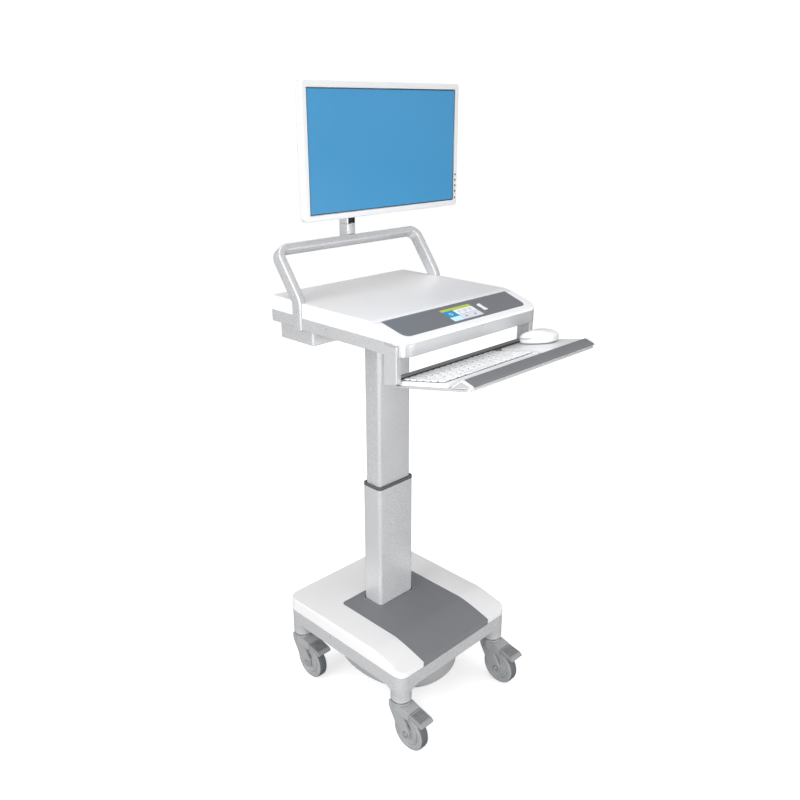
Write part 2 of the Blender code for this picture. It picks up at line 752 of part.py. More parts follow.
def head_frame():
    """The silver tray that carries the head: a floor and a band round it."""
    frame = part("head_frame", prism(head_outline(), (HEAD_LOW, HEAD_BAND_TOP)), "lift", SILVER)
    pocket = head_outline(HEAD_WALL)
    cut(frame, prism(pocket, (HEAD_LOW + HEAD_FLOOR, HEAD_BAND_TOP + 0.01)))
    join(frame, *leg_pockets(HEAD_LOW + 0.0005, HEAD_BAND_TOP - 0.0005))
    cut(frame, *leg_notches(GAP, GAP))
    half_x, half_y, radius, _ = UPPER_TUBE
    hole = rectangle((-half_x - GAP, half_x + GAP), (-half_y - GAP, half_y + GAP), radius)
    cut(frame, prism(hole, (HEAD_LOW - 0.01, HEAD_LOW + HEAD_FLOOR + 0.001)))
    for side in (-1, 1):
        cut(
            frame,
            box(
                sorted((side * (BRACKET_X[0] - GAP), side * 0.26)),
                (BRACKET_Y[0] - GAP, BRACKET_Y[1] + GAP),
                (HEAD_LOW - 0.01, BRACKET_Z[1] + GAP),
            ),
        )


def slope_matrix():
    """Local frame of the worktop's sloping front: -Y runs down the slope and +Z stands off it."""
    return Matrix.Translation((0.0, WORKTOP_BEND_Y, WORKTOP_Z)) @ Matrix.Rotation(WORKTOP_SLOPE, 4, "X")


def on_slope(mesh):
    mesh.transform(slope_matrix())
    return mesh


def panel_outline(grow=0.0):
    near, far = -PANEL_NEAR + grow, -PANEL_FAR - grow
    back, front = PANEL_HALF_X[0] + grow, PANEL_HALF_X[1] + grow
    return fillet([(-front, far, 0.018), (front, far, 0.018), (back, near, 0), (-back, near, 0)], 4)


def worktop_profile(drop=0.0):
    """Side view of the space above the worktop."""
    front_drop = (WORKTOP_BEND_Y - HEAD_FRONT + 0.02) * math.tan(WORKTOP_SLOPE)
    return [
        (HEAD_REAR + 0.02, WORKTOP_Z - drop),
        (WORKTOP_BEND_Y, WORKTOP_Z - drop),
        (HEAD_FRONT - 0.02, WORKTOP_Z - drop - front_drop),
        (HEAD_FRONT - 0.02, WORKTOP_Z + 0.05),
        (HEAD_REAR + 0.02, WORKTOP_Z + 0.05),
    ]


def worktop_block(inset, drop, low):
    block = loose("worktop_block", prism(head_outline(inset), (low, WORKTOP_Z + 0.02)))
    cut(block, prism(worktop_profile(drop), (-0.3, 0.3), "X"))
    return baked(block)


def top_cover():
    """The white worktop shell, with the pocket for the control panel and the well for the rocker."""
    low = HEAD_BAND_TOP + GAP
    shell = round_edges(worktop_block(0.0, 0.0, low), WORKTOP_EDGE_R, 2, above(low + 0.001))
    cover = part("top_cover", shell, "lift", WHITE)
    cut(cover, worktop_block(WORKTOP_WALL + 0.001, WORKTOP_WALL + 0.001, low - 0.01))
    join(cover, *leg_pockets(low + 0.0005, WORKTOP_Z - 0.002))
    cut(cover, *leg_notches(0.0008, LEG_CLEARANCE_REAR))
    cut(cover, on_slope(prism(panel_outline(GAP), (-PANEL_THICKNESS, 0.01))))
    cut(cover, rocker_block(*ROCKER_PLAY, (-0.02, 0.01)))


def rocker_block(play_x, play_y, span):
    """The rocker's plan on the sloping front, grown by some play, between two heights."""
    half_x, half_y = ROCKER_HALF[0] + play_x, ROCKER_HALF[1] + play_y
    across = (ROCKER_X - half_x, ROCKER_X + half_x)
    return on_slope(box(across, (-ROCKER_DOWN - half_y, -ROCKER_DOWN + half_y), span))


def control_panel():
    """The dark panel, with the window for the display and the slot for the rocker."""
    low, high = -PANEL_THICKNESS + GAP, 0.0
    panel = part("control_panel", on_slope(prism(panel_outline(), (low, high))), "lift", DARK_GREY)
    window = box(DISPLAY_X, (-DISPLAY_DOWN[1], -DISPLAY_DOWN[0]), (-0.01, 0.01))
    cut(panel, on_slope(window), rocker_block(*ROCKER_PLAY, (-0.01, 0.01)))
    glass = box(
        (DISPLAY_X[0] + GAP, DISPLAY_X[1] - GAP),
        (-DISPLAY_DOWN[1] + GAP, -DISPLAY_DOWN[0] - GAP),
        (low, high - 0.0001),
    )
    part("display_glass", on_slope(glass), "lift", DISPLAY_WHITE)


def height_rocker():
    """The up and down rocker, pivoting across its middle just under the panel."""
    pivot = slope_matrix() @ Vector((ROCKER_X, -ROCKER_DOWN, -0.002))
    add_body("height_rocker", pivot, "lift")
    key = rocker_block(0.0, 0.0, (-0.0045, ROCKER_RISE))
    key.transform(slope_matrix().inverted())
    key = round_edges(key, 0.0010, 1, above(ROCKER_RISE - 1e-4))
    part("height_rocker", on_slope(key), "height_rocker", WHITE)


def bar_point(x, along, depth):
    """Where a point of the flat arch lands once the legs are bent back; along runs up the front face."""
    angle = min(BAR_LEAN, max(0.0, (along - LEG_STRAIGHT) / BEND_R))
    beyond = along - LEG_STRAIGHT - angle * BEND_R
    inside = BEND_R - depth
    y = LEG_FRONT + BEND_R - inside * math.cos(angle) + beyond * math.sin(angle)
    z = HEAD_LOW + LEG_STRAIGHT + inside * math.sin(angle) + beyond * math.cos(angle)
    return Vector((x, y, z))


def handle_loop():
    """A flat bar bent into an arch, then bent back above the worktop. Its legs are let into the head."""
    outer, inner = LEG_OUTER_X, LEG_OUTER_X - BAR_THICKNESS
    foot = 0.0005
    arch = fillet(
        [
            (-outer, foot, 0),
            (-inner, foot, 0),
            (-inner, ARCH_TOP - BAR_THICKNESS, ARCH_INNER_R),
            (inner, ARCH_TOP - BAR_THICKNESS, ARCH_INNER_R),
            (inner, foot, 0),
            (outer, foot, 0),
            (outer, ARCH_TOP, ARCH_OUTER_R),
            (-outer, ARCH_TOP, ARCH_OUTER_R),
        ],
        5,
    )
    bm = bmesh.new()
    bm.from_mesh(prism(arch, (0.0, BAR_DEPTH), "Y"))
    for step in range(BEND_STEPS + 1):
        height = LEG_STRAIGHT + BEND_R * BAR_LEAN * step / BEND_STEPS
        everything = bm.verts[:] + bm.edges[:] + bm.faces[:]
        bmesh.ops.bisect_plane(bm, geom=everything, plane_co=(0, 0, height), plane_no=(0, 0, 1))
    for vertex in bm.verts:
        vertex.co = bar_point(vertex.co.x, vertex.co.z, vertex.co.y)
    part("handle_loop", mesh_from(bm), "lift", SILVER)


def electronics_box():
    """The power and charging box under the back of the head."""
    front, back = BOX_Y
    outline = fillet([(-BOX_X, front, 0.006), (BOX_X, front, 0.006), (BOX_X, back, 0), (-BOX_X, back, 0)], 3)
    case = part("electronics_box", prism(outline, (BOX_LOW, HEAD_LOW - GAP)), "lift", SILVER)
    half_x, half_y = UPPER_TUBE[0] + 0.002, UPPER_TUBE[1] + 0.002
    cut(case, box((-half_x, half_x), (-half_y, half_y), (BOX_LOW - 0.01, HEAD_LOW)))


def hinge_point():
    forward, square = tray_axes()
    return Vector((0.0, *TRAY_POINT)) + forward * HINGE_S + square * HINGE_N


def tray_brackets():
    """The side plates that hang from the head and hold the tray's pivots."""
    pivot = hinge_point()
    for name, side in (("left", -1), ("right", 1)):
        outline = fillet(
            [
                (BRACKET_Y[0], BRACKET_Z[0] + 0.007, 0.006),
                (BRACKET_Y[1], BRACKET_Z[0], 0.004),
                (BRACKET_Y[1], BRACKET_Z[1], 0.001),
                (BRACKET_Y[0], BRACKET_Z[1], 0.001),
            ],
            3,
        )
        span = sorted((side * BRACKET_X[0], side * BRACKET_X[1]))
        plate = part("tray_bracket_" + name, prism(outline, span, "X"), "lift", SILVER)
        bore = sorted((side * (BRACKET_X[0] - 0.005), side * (BRACKET_X[1] - 0.003)))
        cut(plate, cylinder(PIVOT_PIN_R + 0.00025, bore, (0, pivot.y, pivot.z), "X", 24))


# ---------------------------------------------------------------- monitor
def monitor_post():
    """The upright that stands on the handle's sloping crossbar, with the socket the monitor turns in."""
    front = bar_point(0.0, ARCH_TOP + GAP, 0.0005)
    back = bar_point(0.0, ARCH_TOP + GAP, BAR_DEPTH)
    profile = [
        (POST_Y[0], front.z),
        (back.y, back.z),
        (POST_Y[1], back.z),
        (POST_Y[1], POST_SEAM_Z),
        (POST_Y[0], POST_SEAM_Z),
    ]
    solid = round_edges(
        prism(profile, (-POST_HALF_X, POST_HALF_X), "X"),
        0.003,
        2,
        lambda first, second: abs(first.z - second.z) > 0.02 and abs(first.y - second.y) < 1e-5,
    )
    post = part("monitor_post", solid, "lift", SILVER)
    socket = (POST_SEAM_Z - 0.018, POST_SEAM_Z + 0.01)
    cut(post, cylinder(SWIVEL_PIN_R + GAP, socket, (0, SWIVEL_Y, 0), segments=20))


def swivel_head():
    """The knuckle that turns on the post, the upright behind the monitor and the tilt hinge's barrel."""
    add_body("swivel", (0.0, SWIVEL_Y, POST_SEAM_Z), "lift")
    low = POST_SEAM_Z + 0.0006
    outline = rectangle((-POST_HALF_X, POST_HALF_X), POST_Y, 0.003, 2)
    head = part("swivel_head", prism(outline, (low, TILT_AXIS_Z + 0.012)), "swivel", SILVER)
    for side in (-1, 1):
        beside = sorted((side * (BARREL_HALF_X + 0.0004), side * 0.02))
        depth = (POST_Y[0] - 0.01, TILT_AXIS_Y + 0.016)
        cut(head, box(beside, depth, (TILT_AXIS_Z - 0.024, TILT_AXIS_Z + 0.02)))
    join(head, cylinder(SWIVEL_PIN_R, (POST_SEAM_Z - 0.016, low + 0.002), (0, SWIVEL_Y, 0), segments=20))
    neck = (TILT_AXIS_Y, POST_Y[0] + 0.005)
    join(head, box((-0.0092, 0.0092), neck, (TILT_AXIS_Z - 0.010, TILT_AXIS_Z + 0.010)))
    axis = (0, TILT_AXIS_Y, TILT_AXIS_Z)
    join(head, cylinder(BARREL_R, (-BARREL_HALF_X, BARREL_HALF_X), axis, "X", 24))
    cut(head, cylinder(TILT_PIN_R + GAP, (-0.02, 0.02), axis, "X", 20))
    cut(head, box((-0.0096, 0.0096), (POST_Y[0] - 0.01, POST_Y[0] + 0.006), (low + 0.0004, low + 0.0235)))


def tilt_bracket():
    """The plate on the monitor's back with two ears and a pin through the swivel head's barrel."""
    add_body("monitor", (0.0, TILT_AXIS_Y, TILT_AXIS_Z), "swivel")
    back = HOUSING_BACK_Y + GAP
    plate = rectangle((-0.055, 0.055), (MONITOR_Z - 0.075, MONITOR_Z + 0.045), 0.006, 2)
    bracket = part("tilt_bracket", prism(plate, (back, back + 0.003), "Y"), "monitor", BLACK)
    for side in (-1, 1):
        ear = fillet(
            [
                (back + 0.001, TILT_AXIS_Z - 0.022, 0),
                (TILT_AXIS_Y + 0.011, TILT_AXIS_Z - 0.011, 0.010),
                (TILT_AXIS_Y + 0.011, TILT_AXIS_Z + 0.011, 0.010),
                (back + 0.001, TILT_AXIS_Z + 0.022, 0),
            ],
            4,
        )
        join(bracket, prism(ear, sorted((side * 0.0112, side * 0.0150)), "X"))
    join(bracket, cylinder(TILT_PIN_R, (-0.0170, 0.0170), (0, TILT_AXIS_Y, TILT_AXIS_Z), "X", 20))


def monitor_outline(half, radius, steps=3):
    return rectangle((-half[0], half[0]), (MONITOR_Z - half[1], MONITOR_Z + half[1]), radius, steps)


def monitor_case():
    """The rear housing with its raised back, and the bezel in front of it."""
    front = BEZEL_Y[1] + GAP
    shell = prism(monitor_outline(MONITOR_HALF, CORNER_R), (front, HOUSING_EDGE_Y), "Y")
    shell = round_edges(shell, 0.003, 2, outside_y(HOUSING_EDGE_Y))
    housing = part("monitor_rear_housing", shell, "monitor", WHITE)
    bulge = prism(monitor_outline(BULGE_HALF, BULGE_R[0]), (HOUSING_EDGE_Y - 0.002, HOUSING_BACK_Y), "Y")
    join(housing, round_edges(bulge, BULGE_R[1], 3, outside_y(HOUSING_BACK_Y)))
    plate = prism(monitor_outline(MONITOR_HALF, CORNER_R), BEZEL_Y, "Y")
    bezel = part("monitor_bezel", round_edges(plate, 0.002, 2, outside_y(BEZEL_Y[0])), "monitor", WHITE)
    through = (BEZEL_Y[0] - 0.01, BEZEL_Y[1] + 0.01)
    cut(bezel, prism(monitor_outline(SCREEN_HALF, 0.0005, 1), through, "Y"))
    for z in (*BUTTON_Z, POWER_BUTTON_Z):
        cut(bezel, cylinder(BUTTON_HOLE_R, through, (BUTTON_X, 0, z), "Y", 16))
    panel_half = (SCREEN_HALF[0] - GAP, SCREEN_HALF[1] - GAP)
    glass = prism(monitor_outline(panel_half, 0.0004, 1), (BEZEL_Y[0] + 0.0015, BEZEL_Y[1]), "Y")
    part("lcd_panel", glass, "monitor", SCREEN_BLUE)


def monitor_buttons():
    """Four menu buttons and the power button, in holes down the right side of the bezel."""
    names = [("menu_button_%d" % (index + 1), z) for index, z in enumerate(BUTTON_Z)]
    for name, z in (*names, ("power_button", POWER_BUTTON_Z)):
        add_body(name, (BUTTON_X, BEZEL_Y[0], z), "monitor")
        span = (BEZEL_Y[0] - 0.0006, BEZEL_Y[0] + 0.0085)
        part(name, cylinder(BUTTON_R, span, (BUTTON_X, 0, z), "Y", 16), name, BLACK)


# ---------------------------------------------------------------- keyboard tray
def tray_axes():
    """Unit vectors forward along the tray and square to it."""
    turn = Matrix.Rotation(-TRAY_TILT, 3, "X")
    return turn @ Vector((0, -1, 0)), turn @ Vector((0, 0, 1))


def tray_matrix():
    """From a frame with -Y forward and z = 0 under the tray to the tray's place."""
    return Matrix.Translation((0.0, *TRAY_POINT)) @ Matrix.Rotation(-TRAY_TILT, 4, "X")


def on_tray(mesh):
    mesh.transform(tray_matrix())
    return mesh


def keyboard_tray():
    add_body("tray", hinge_point(), "lift")
    outline = fillet(
        [
            (-TRAY_HALF_X, -TRAY_S[1], 0.012),
            (TRAY_HALF_X, -TRAY_S[1], 0.012),
            (TRAY_HALF_X, -TRAY_S[0], 0),
            (-TRAY_HALF_X, -TRAY_S[0], 0),
        ],
        4,
    )
    part("keyboard_tray", on_tray(prism(outline, (0.0, TRAY_THICKNESS))), "tray", SILVER)


def tray_back_rail():
    """The dark rail along the back of the tray, with the pivot pins at its ends."""
    rail_box = box((-TRAY_HALF_X, TRAY_HALF_X), (0.0180, 0.0310), (TRAY_THICKNESS + GAP, 0.0209))
    rail = part("tray_back_rail", on_tray(rail_box), "tray", DARK_GREY)
    reach = BRACKET_X[1] - 0.0042
    for side in (-1, 1):
        span = sorted((side * 0.210, side * reach))
        join(rail, on_tray(cylinder(PIVOT_PIN_R, span, (0, -HINGE_S, HINGE_N), "X", 24)))


def tray_front():
    """The wedge along the front of the tray with its end caps, and the pad that lies on its slope."""
    floor = TRAY_THICKNESS + GAP
    slope = [(-0.1400, floor), (-0.1700, 0.0189), (-0.1915, 0.0068), (-0.1915, floor)]
    lip = part("tray_front_lip", on_tray(prism(slope, (-TRAY_HALF_X, TRAY_HALF_X), "X")), "tray", WHITE)
    cap = fillet(
        [(-0.1380, floor, 0), (-0.1727, 0.0240, 0.002), (-0.1975, 0.0105, 0.002), (-0.1945, floor, 0)], 2
    )
    for side in (-1, 1):
        span = sorted((side * 0.2150, side * TRAY_HALF_X))
        join(lip, on_tray(prism(cap, span, "X")))
    pad = [(-0.1704, 0.0192), (-0.1724, 0.0237), (-0.1757, 0.0222), (-0.1952, 0.0112), (-0.1929, 0.0067)]
    part("wrist_rest", on_tray(prism(pad, (-0.2146, 0.2146), "X")), "tray", DARK_GREY)


def mouse_platform():
    """The raised plate beside the keyboard that the mouse runs on."""
    block = box(PAD_X, (-PAD_S[1], -PAD_S[0]), (TRAY_THICKNESS + GAP, PAD_TOP_N))
    block = round_edges(block, 0.0015, 1, above(PAD_TOP_N - 1e-4))
    plate = part("mouse_platform", on_tray(block), "tray", WHITE)
    wedge = [(-0.1370, 0.0), (-0.1370, 0.0046), (-0.17, 0.0205), (-0.20, 0.03), (-0.20, 0.0)]
    cut(plate, on_tray(prism(wedge, (PAD_X[0] - 0.01, PAD_X[1] + 0.01), "X")))


def keyboard_case():
    """The keyboard's shell with the shallow well that the keys stand in."""
    block = box(KEYBOARD_X, (-KEYBOARD_S[1], -KEYBOARD_S[0]), KEYBOARD_N)
    block = round_edges(block, 0.0015, 1, above(KEYBOARD_N[1] - 1e-4))
    case = part("keyboard_case", on_tray(block), "tray", WHITE)
    side, front, back = WELL_MARGINS
    well = box(
        (KEYBOARD_X[0] + side, KEYBOARD_X[1] - side),
        (-KEYBOARD_S[1] + front, -KEYBOARD_S[0] - back),
        (KEYBOARD_N[0] + 0.0022, KEYBOARD_N[1] + 0.01),
    )
    cut(case, on_tray(well))


def keyboard_keys():
    """The key field on its membrane: a grid of caps drawn up from one sheet, with a long space bar."""
    forward, square = tray_axes()
    middle = Vector((0.0, *TRAY_POINT)) + forward * 0.06 + square * KEYBOARD_N[1]
    add_body("keys", middle, "tray")
    low, sheet = KEYBOARD_N[0] + 0.0048, KEYBOARD_N[0] + 0.0062
    side, front, back = WELL_MARGINS
    x = (KEYBOARD_X[0] + side + WELL_PLAY, KEYBOARD_X[1] - side - WELL_PLAY)
    y = (-KEYBOARD_S[1] + front + WELL_PLAY, -KEYBOARD_S[0] - back - WELL_PLAY)
    bm = bmesh.new()
    bmesh.ops.create_grid(bm, x_segments=KEY_PITCH_COLUMNS, y_segments=KEY_ROWS, size=0.5)
    size = Matrix.Diagonal((x[1] - x[0], y[1] - y[0], 1.0, 1.0))
    bm.transform(Matrix.Translation(((x[0] + x[1]) / 2, (y[0] + y[1]) / 2, sheet)) @ size)
    pitch = (x[1] - x[0]) / KEY_PITCH_COLUMNS
    front_row = y[0] + (y[1] - y[0]) / KEY_ROWS
    inside = [
        edge
        for edge in bm.edges
        if abs(edge.verts[0].co.x - edge.verts[1].co.x) < 1e-6
        and max(edge.verts[0].co.y, edge.verts[1].co.y) < front_row + 1e-5
        and x[0] + 4.5 * pitch < edge.verts[0].co.x < x[0] + 9.5 * pitch
    ]
    bmesh.ops.dissolve_edges(bm, edges=inside, use_verts=False)
    caps = bm.faces[:]
    sheet_copy = bmesh.ops.duplicate(bm, geom=bm.verts[:] + bm.edges[:] + bm.faces[:])["geom"]
    under = [item for item in sheet_copy if isinstance(item, bmesh.types.BMFace)]
    under_points = [item for item in sheet_copy if isinstance(item, bmesh.types.BMVert)]
    for vertex in under_points:
        vertex.co.z = low
    bmesh.ops.reverse_faces(bm, faces=under)
    rims = [edge for edge in bm.edges if len(edge.link_faces) == 1]
    bmesh.ops.bridge_loops(bm, edges=rims)
    bmesh.ops.inset_individual(bm, faces=caps, thickness=0.0018, depth=KEY_TOP_N - sheet)
    part("keyboard_keys", on_tray(mesh_from(bm)), "keys", WHITE)


def cage_bounds(mesh):
    places = [vertex.co for vertex in mesh.vertices]
    low = [min(place[axis] for place in places) for axis in range(3)]
    high = [max(place[axis] for place in places) for axis in range(3)]
    return low, high


def mouse_form():
    """The mouse's whole outer form, nose towards +Y, standing on z = 0."""
    bm = bmesh.new()
    bmesh.ops.create_cube(bm, size=1.0)
    bmesh.ops.subdivide_edges(bm, edges=bm.edges[:], cuts=1, use_grid_fill=True)
    width, length, height = MOUSE_SIZE
    for vertex in bm.verts:
        x, y, z = vertex.co
        rise = height * (1.20 if z > 0.4 else 0.45 if z > -0.1 else 0.0)
        if z > 0.4:
            rise *= 0.78 if y > 0.4 else 1.02 if y > -0.1 else 0.84
        vertex.co = (x * width, y * length, rise)
    cage = bpy.data.objects.new("mouse_cage", mesh_from(bm))
    cutters.objects.link(cage)
    smooth = cage.modifiers.new("subdivision", "SUBSURF")
    smooth.levels = 2
    smooth.render_levels = 2
    bpy.context.view_layer.update()
    graph = bpy.context.evaluated_depsgraph_get()
    mesh = bpy.data.meshes.new_from_object(cage.evaluated_get(graph))
    bpy.data.objects.remove(cage)
    corners = [Vector(corner) for corner in cage_bounds(mesh)]
    size = corners[1] - corners[0]
    scale = Matrix.Diagonal((width / size.x, length / size.y, height / size.z, 1.0))
    mesh.transform(scale @ Matrix.Translation((0.0, 0.0, -corners[0].z)))
    return mesh


def mouse_piece(name, keep, remove):
    """The mouse's form cut to a box, less some boxes."""
    piece = loose(name, mouse_form())
    combine(piece, keep, "INTERSECT")
    cut(piece, *remove)
    return baked(piece)


def pad_matrix():
    """From the mouse's own frame to the top of the mouse platform."""
    turn = Matrix.Rotation(MOUSE_YAW, 4, "Z")
    return Matrix.Translation((MOUSE_CENTRE[0], -MOUSE_CENTRE[1], PAD_TOP_N + GAP)) @ turn


def on_pad(mesh):
    mesh.transform(pad_matrix())
    return on_tray(mesh)


def pad_point(x, y, z):
    return tray_matrix() @ pad_matrix() @ Vector((x, y, z))


def mouse():
    """The mouse's body, its two buttons hinged at their backs, and the wheel between them."""
    split, lip = MOUSE_SPLIT
    slot = box((-0.0042, 0.0042), (0.0170, 0.0380), (0.0090, 0.06))
    add_body("mouse", pad_point(0, 0, 0), "tray")
    whole = box((-0.06, 0.06), (-0.09, 0.09), (0.0, 0.08))
    front = box((-0.06, 0.06), (split, 0.09), (lip, 0.08))
    shell = mouse_piece("mouse_shell", whole, [front, slot])
    part("mouse_body", on_pad(shell), "mouse", WHITE)
    for name, side in (("left", -1), ("right", 1)):
        add_body("mouse_button_" + name, pad_point(side * CLICK_PIVOT[0], split, CLICK_PIVOT[1]), "mouse")
        keep = box(sorted((side * GAP, side * 0.06)), (split + 2 * GAP, 0.09), (lip + 0.0022, 0.08))
        piece = mouse_piece("mouse_cap", keep, [slot.copy()])
        part("mouse_button_" + name, on_pad(piece), "mouse_button_" + name, WHITE)
    add_body("mouse_wheel", pad_point(*SCROLL_CENTRE), "mouse")
    wheel = cylinder(SCROLL_R, (-SCROLL_HALF_W, SCROLL_HALF_W), SCROLL_CENTRE, "X", 24)
    part("mouse_wheel", on_pad(wheel), "mouse_wheel", DARK_GREY)


# ---------------------------------------------------------------- assembly
def build():
    clear_scene()
    add_body("base", (0.0, 0.0, 0.0))
    add_body("lift", (0.0, 0.0, 0.0), "base")
    base_frame()
    base_cover()
    base_centre_cover()
    underpan()
    base_contents()
    casters()
    column()
    actuator()
    head_frame()
    top_cover()
    control_panel()
    height_rocker()
    handle_loop()
    electronics_box()
    tray_brackets()
    monitor_post()
    swivel_head()
    tilt_bracket()
    monitor_case()
    monitor_buttons()
    keyboard_tray()
    tray_back_rail()
    tray_front()
    mouse_platform()
    keyboard_case()
    keyboard_keys()
    mouse()


build()
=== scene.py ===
"""The medication cart's visible pieces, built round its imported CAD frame.

Metres, +Z up, and the user stands on the -Y side.
"""

import json
from math import cos, pi, radians, sin, tan

import bmesh
import bpy
from mathutils import Matrix, Vector

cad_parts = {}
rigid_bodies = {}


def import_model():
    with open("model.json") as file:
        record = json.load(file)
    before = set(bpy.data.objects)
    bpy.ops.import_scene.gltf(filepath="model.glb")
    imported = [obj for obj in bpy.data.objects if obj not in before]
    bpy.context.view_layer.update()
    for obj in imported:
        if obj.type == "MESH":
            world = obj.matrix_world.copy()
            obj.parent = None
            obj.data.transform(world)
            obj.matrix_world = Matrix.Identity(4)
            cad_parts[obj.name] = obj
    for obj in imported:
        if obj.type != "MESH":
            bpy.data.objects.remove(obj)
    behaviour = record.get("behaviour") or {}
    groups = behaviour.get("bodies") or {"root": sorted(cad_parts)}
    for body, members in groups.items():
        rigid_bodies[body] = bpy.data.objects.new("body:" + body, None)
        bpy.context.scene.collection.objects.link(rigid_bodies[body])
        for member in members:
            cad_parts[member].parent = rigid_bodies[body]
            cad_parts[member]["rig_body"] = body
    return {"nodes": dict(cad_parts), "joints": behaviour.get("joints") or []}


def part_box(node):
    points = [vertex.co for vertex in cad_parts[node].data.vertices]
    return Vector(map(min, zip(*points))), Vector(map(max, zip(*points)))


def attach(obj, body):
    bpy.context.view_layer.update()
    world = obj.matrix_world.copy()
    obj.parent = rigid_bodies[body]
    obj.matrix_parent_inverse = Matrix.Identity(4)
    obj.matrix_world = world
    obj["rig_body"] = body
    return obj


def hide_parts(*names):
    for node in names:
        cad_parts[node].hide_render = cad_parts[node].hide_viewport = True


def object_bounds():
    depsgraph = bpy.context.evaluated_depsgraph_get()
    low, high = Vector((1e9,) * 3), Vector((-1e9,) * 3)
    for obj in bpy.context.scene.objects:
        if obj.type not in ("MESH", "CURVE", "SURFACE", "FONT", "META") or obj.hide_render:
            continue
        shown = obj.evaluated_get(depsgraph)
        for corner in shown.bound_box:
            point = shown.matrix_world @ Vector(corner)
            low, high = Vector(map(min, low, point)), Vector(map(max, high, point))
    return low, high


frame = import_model()
cad_low, cad_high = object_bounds()

# The column's centre line: lengths along Y below are measured from it
column_low, column_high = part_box("column_lower_tube")
COLUMN_Y = (column_low.y + column_high.y) / 2
COLUMN = Vector((0.0, COLUMN_Y, 0.0))

OVER = 0.01  # how far a cutting shape reaches past what it cuts
WIDE = 0.3  # half the width of a cutting shape that spans the whole cart
TINY = 1e-5  # levels closer than this are the same
SIDES = (-1, 1)


def local_box(node):
    """A CAD node's two corners, with Y measured from the column."""
    return [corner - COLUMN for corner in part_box(node)]


def pivot(name):
    """A joint's centre, with Y measured from the column."""
    joint = next(item for item in frame["joints"] if item["name"] == name)
    return Vector(joint["pos_m"]) - COLUMN


def about(middle, half):
    return middle - half, middle + half


def both(half):
    """A range that reaches equally far to either side of the cart's middle."""
    return -half, half


def sided(side, near, far):
    """A range from near to far on the left (-1) or right (1) side of the cart."""
    return sorted((side * near, side * far))


# --- meshes
def plain_mesh(bm):
    mesh = bpy.data.meshes.new("solid")
    bm.to_mesh(mesh)
    bm.free()
    return mesh


def mesh_from(bm):
    """A mesh whose faces all look outwards."""
    bmesh.ops.recalc_face_normals(bm, faces=bm.faces)
    if bm.calc_volume(signed=True) < 0:
        bmesh.ops.reverse_faces(bm, faces=bm.faces)
    return plain_mesh(bm)


def box(x, y, z):
    bm = bmesh.new()
    bmesh.ops.create_cube(bm, size=1.0)
    low, high = (Vector(corner) for corner in zip(x, y, z))
    bm.transform(Matrix.Translation((low + high) / 2) @ Matrix.Diagonal((*(high - low), 1.0)))
    return mesh_from(bm)


AXES = {"X": Vector((1, 0, 0)), "Y": Vector((0, 1, 0)), "Z": Vector((0, 0, 1))}
TURNS = {
    "X": Matrix(((0, 0, 1, 0), (1, 0, 0, 0), (0, 1, 0, 0), (0, 0, 0, 1))),
    "Y": Matrix(((1, 0, 0, 0), (0, 0, -1, 0), (0, 1, 0, 0), (0, 0, 0, 1))),
    "Z": Matrix.Identity(4),
}


def cylinder(radius, span, centre, axis="Z", segments=48):
    bm = bmesh.new()
    depth = span[1] - span[0]
    bmesh.ops.create_cone(
        bm, cap_ends=True, segments=segments, radius1=radius, radius2=radius, depth=depth
    )
    middle = Vector(centre) + AXES[axis] * (span[0] + span[1]) / 2
    bm.transform(Matrix.Translation(middle) @ TURNS[axis])
    return mesh_from(bm)


def fillet(corners, steps=8):
    """The points of a polygon of (a, b, radius) corners, each rounded to its radius."""
    points = []
    for index, (a, b, radius) in enumerate(corners):
        here = Vector((a, b))
        if radius <= 0:
            points.append(here)
            continue
        before = (Vector(corners[index - 1][:2]) - here).normalized()
        after = (Vector(corners[(index + 1) % len(corners)][:2]) - here).normalized()
        half = before.angle(after) / 2
        centre = here + (before + after).normalized() * (radius / sin(half))
        start = here + before * (radius / tan(half)) - centre
        end = here + after * (radius / tan(half)) - centre
        sweep = -start.angle_signed(end)
        for step in range(steps + 1):
            points.append(centre + Matrix.Rotation(sweep * step / steps, 2) @ start)
    return points


def rectangle(a, b, radius, steps=8):
    corners = ((a[0], b[0]), (a[1], b[0]), (a[1], b[1]), (a[0], b[1]))
    return fillet([(*corner, radius) for corner in corners], steps)


def plan(low, high, radius, inset=0.0, steps=10):
    """A box's outline seen from above, drawn in by an inset."""
    across, along = (low.x + inset, high.x - inset), (low.y + inset, high.y - inset)
    return rectangle(across, along, radius, steps)


def mirrored(right):
    """A symmetric outline's corners, from those on its right, front to rear."""
    left = [(-a, b, radius) for a, b, radius in right]
    return [left[0], *right, *left[:0:-1]]


def prism(outline, span, axis="Z"):
    """An outline extruded along an axis: it is in (x, y) for Z, (y, z) for X and (x, z) for Y."""
    bm = bmesh.new()
    low, high = ([bm.verts.new((*point[:2], height)) for point in outline] for height in span)
    bm.faces.new(low[::-1])
    bm.faces.new(high)
    for index in range(len(outline)):
        following = (index + 1) % len(outline)
        bm.faces.new((low[index], low[following], high[following], high[index]))
    if axis == "Y":
        bm.transform(Matrix.Diagonal((1, 1, -1, 1)))
    bm.transform(TURNS[axis])
    return mesh_from(bm)


def loft(rings, closed=False):
    """A skin over rings of points, with flat ends unless it closes on itself."""
    bm = bmesh.new()
    made = [[bm.verts.new(point) for point in ring] for ring in rings]
    count = len(made[0])
    pairs = list(zip(made, made[1:]))
    if closed:
        pairs.append((made[-1], made[0]))
    for first, second in pairs:
        for index in range(count):
            following = (index + 1) % count
            bm.faces.new((first[index], first[following], second[following], second[index]))
    if not closed:
        bm.faces.new(made[0][::-1])
        bm.faces.new(made[-1])
    return mesh_from(bm)


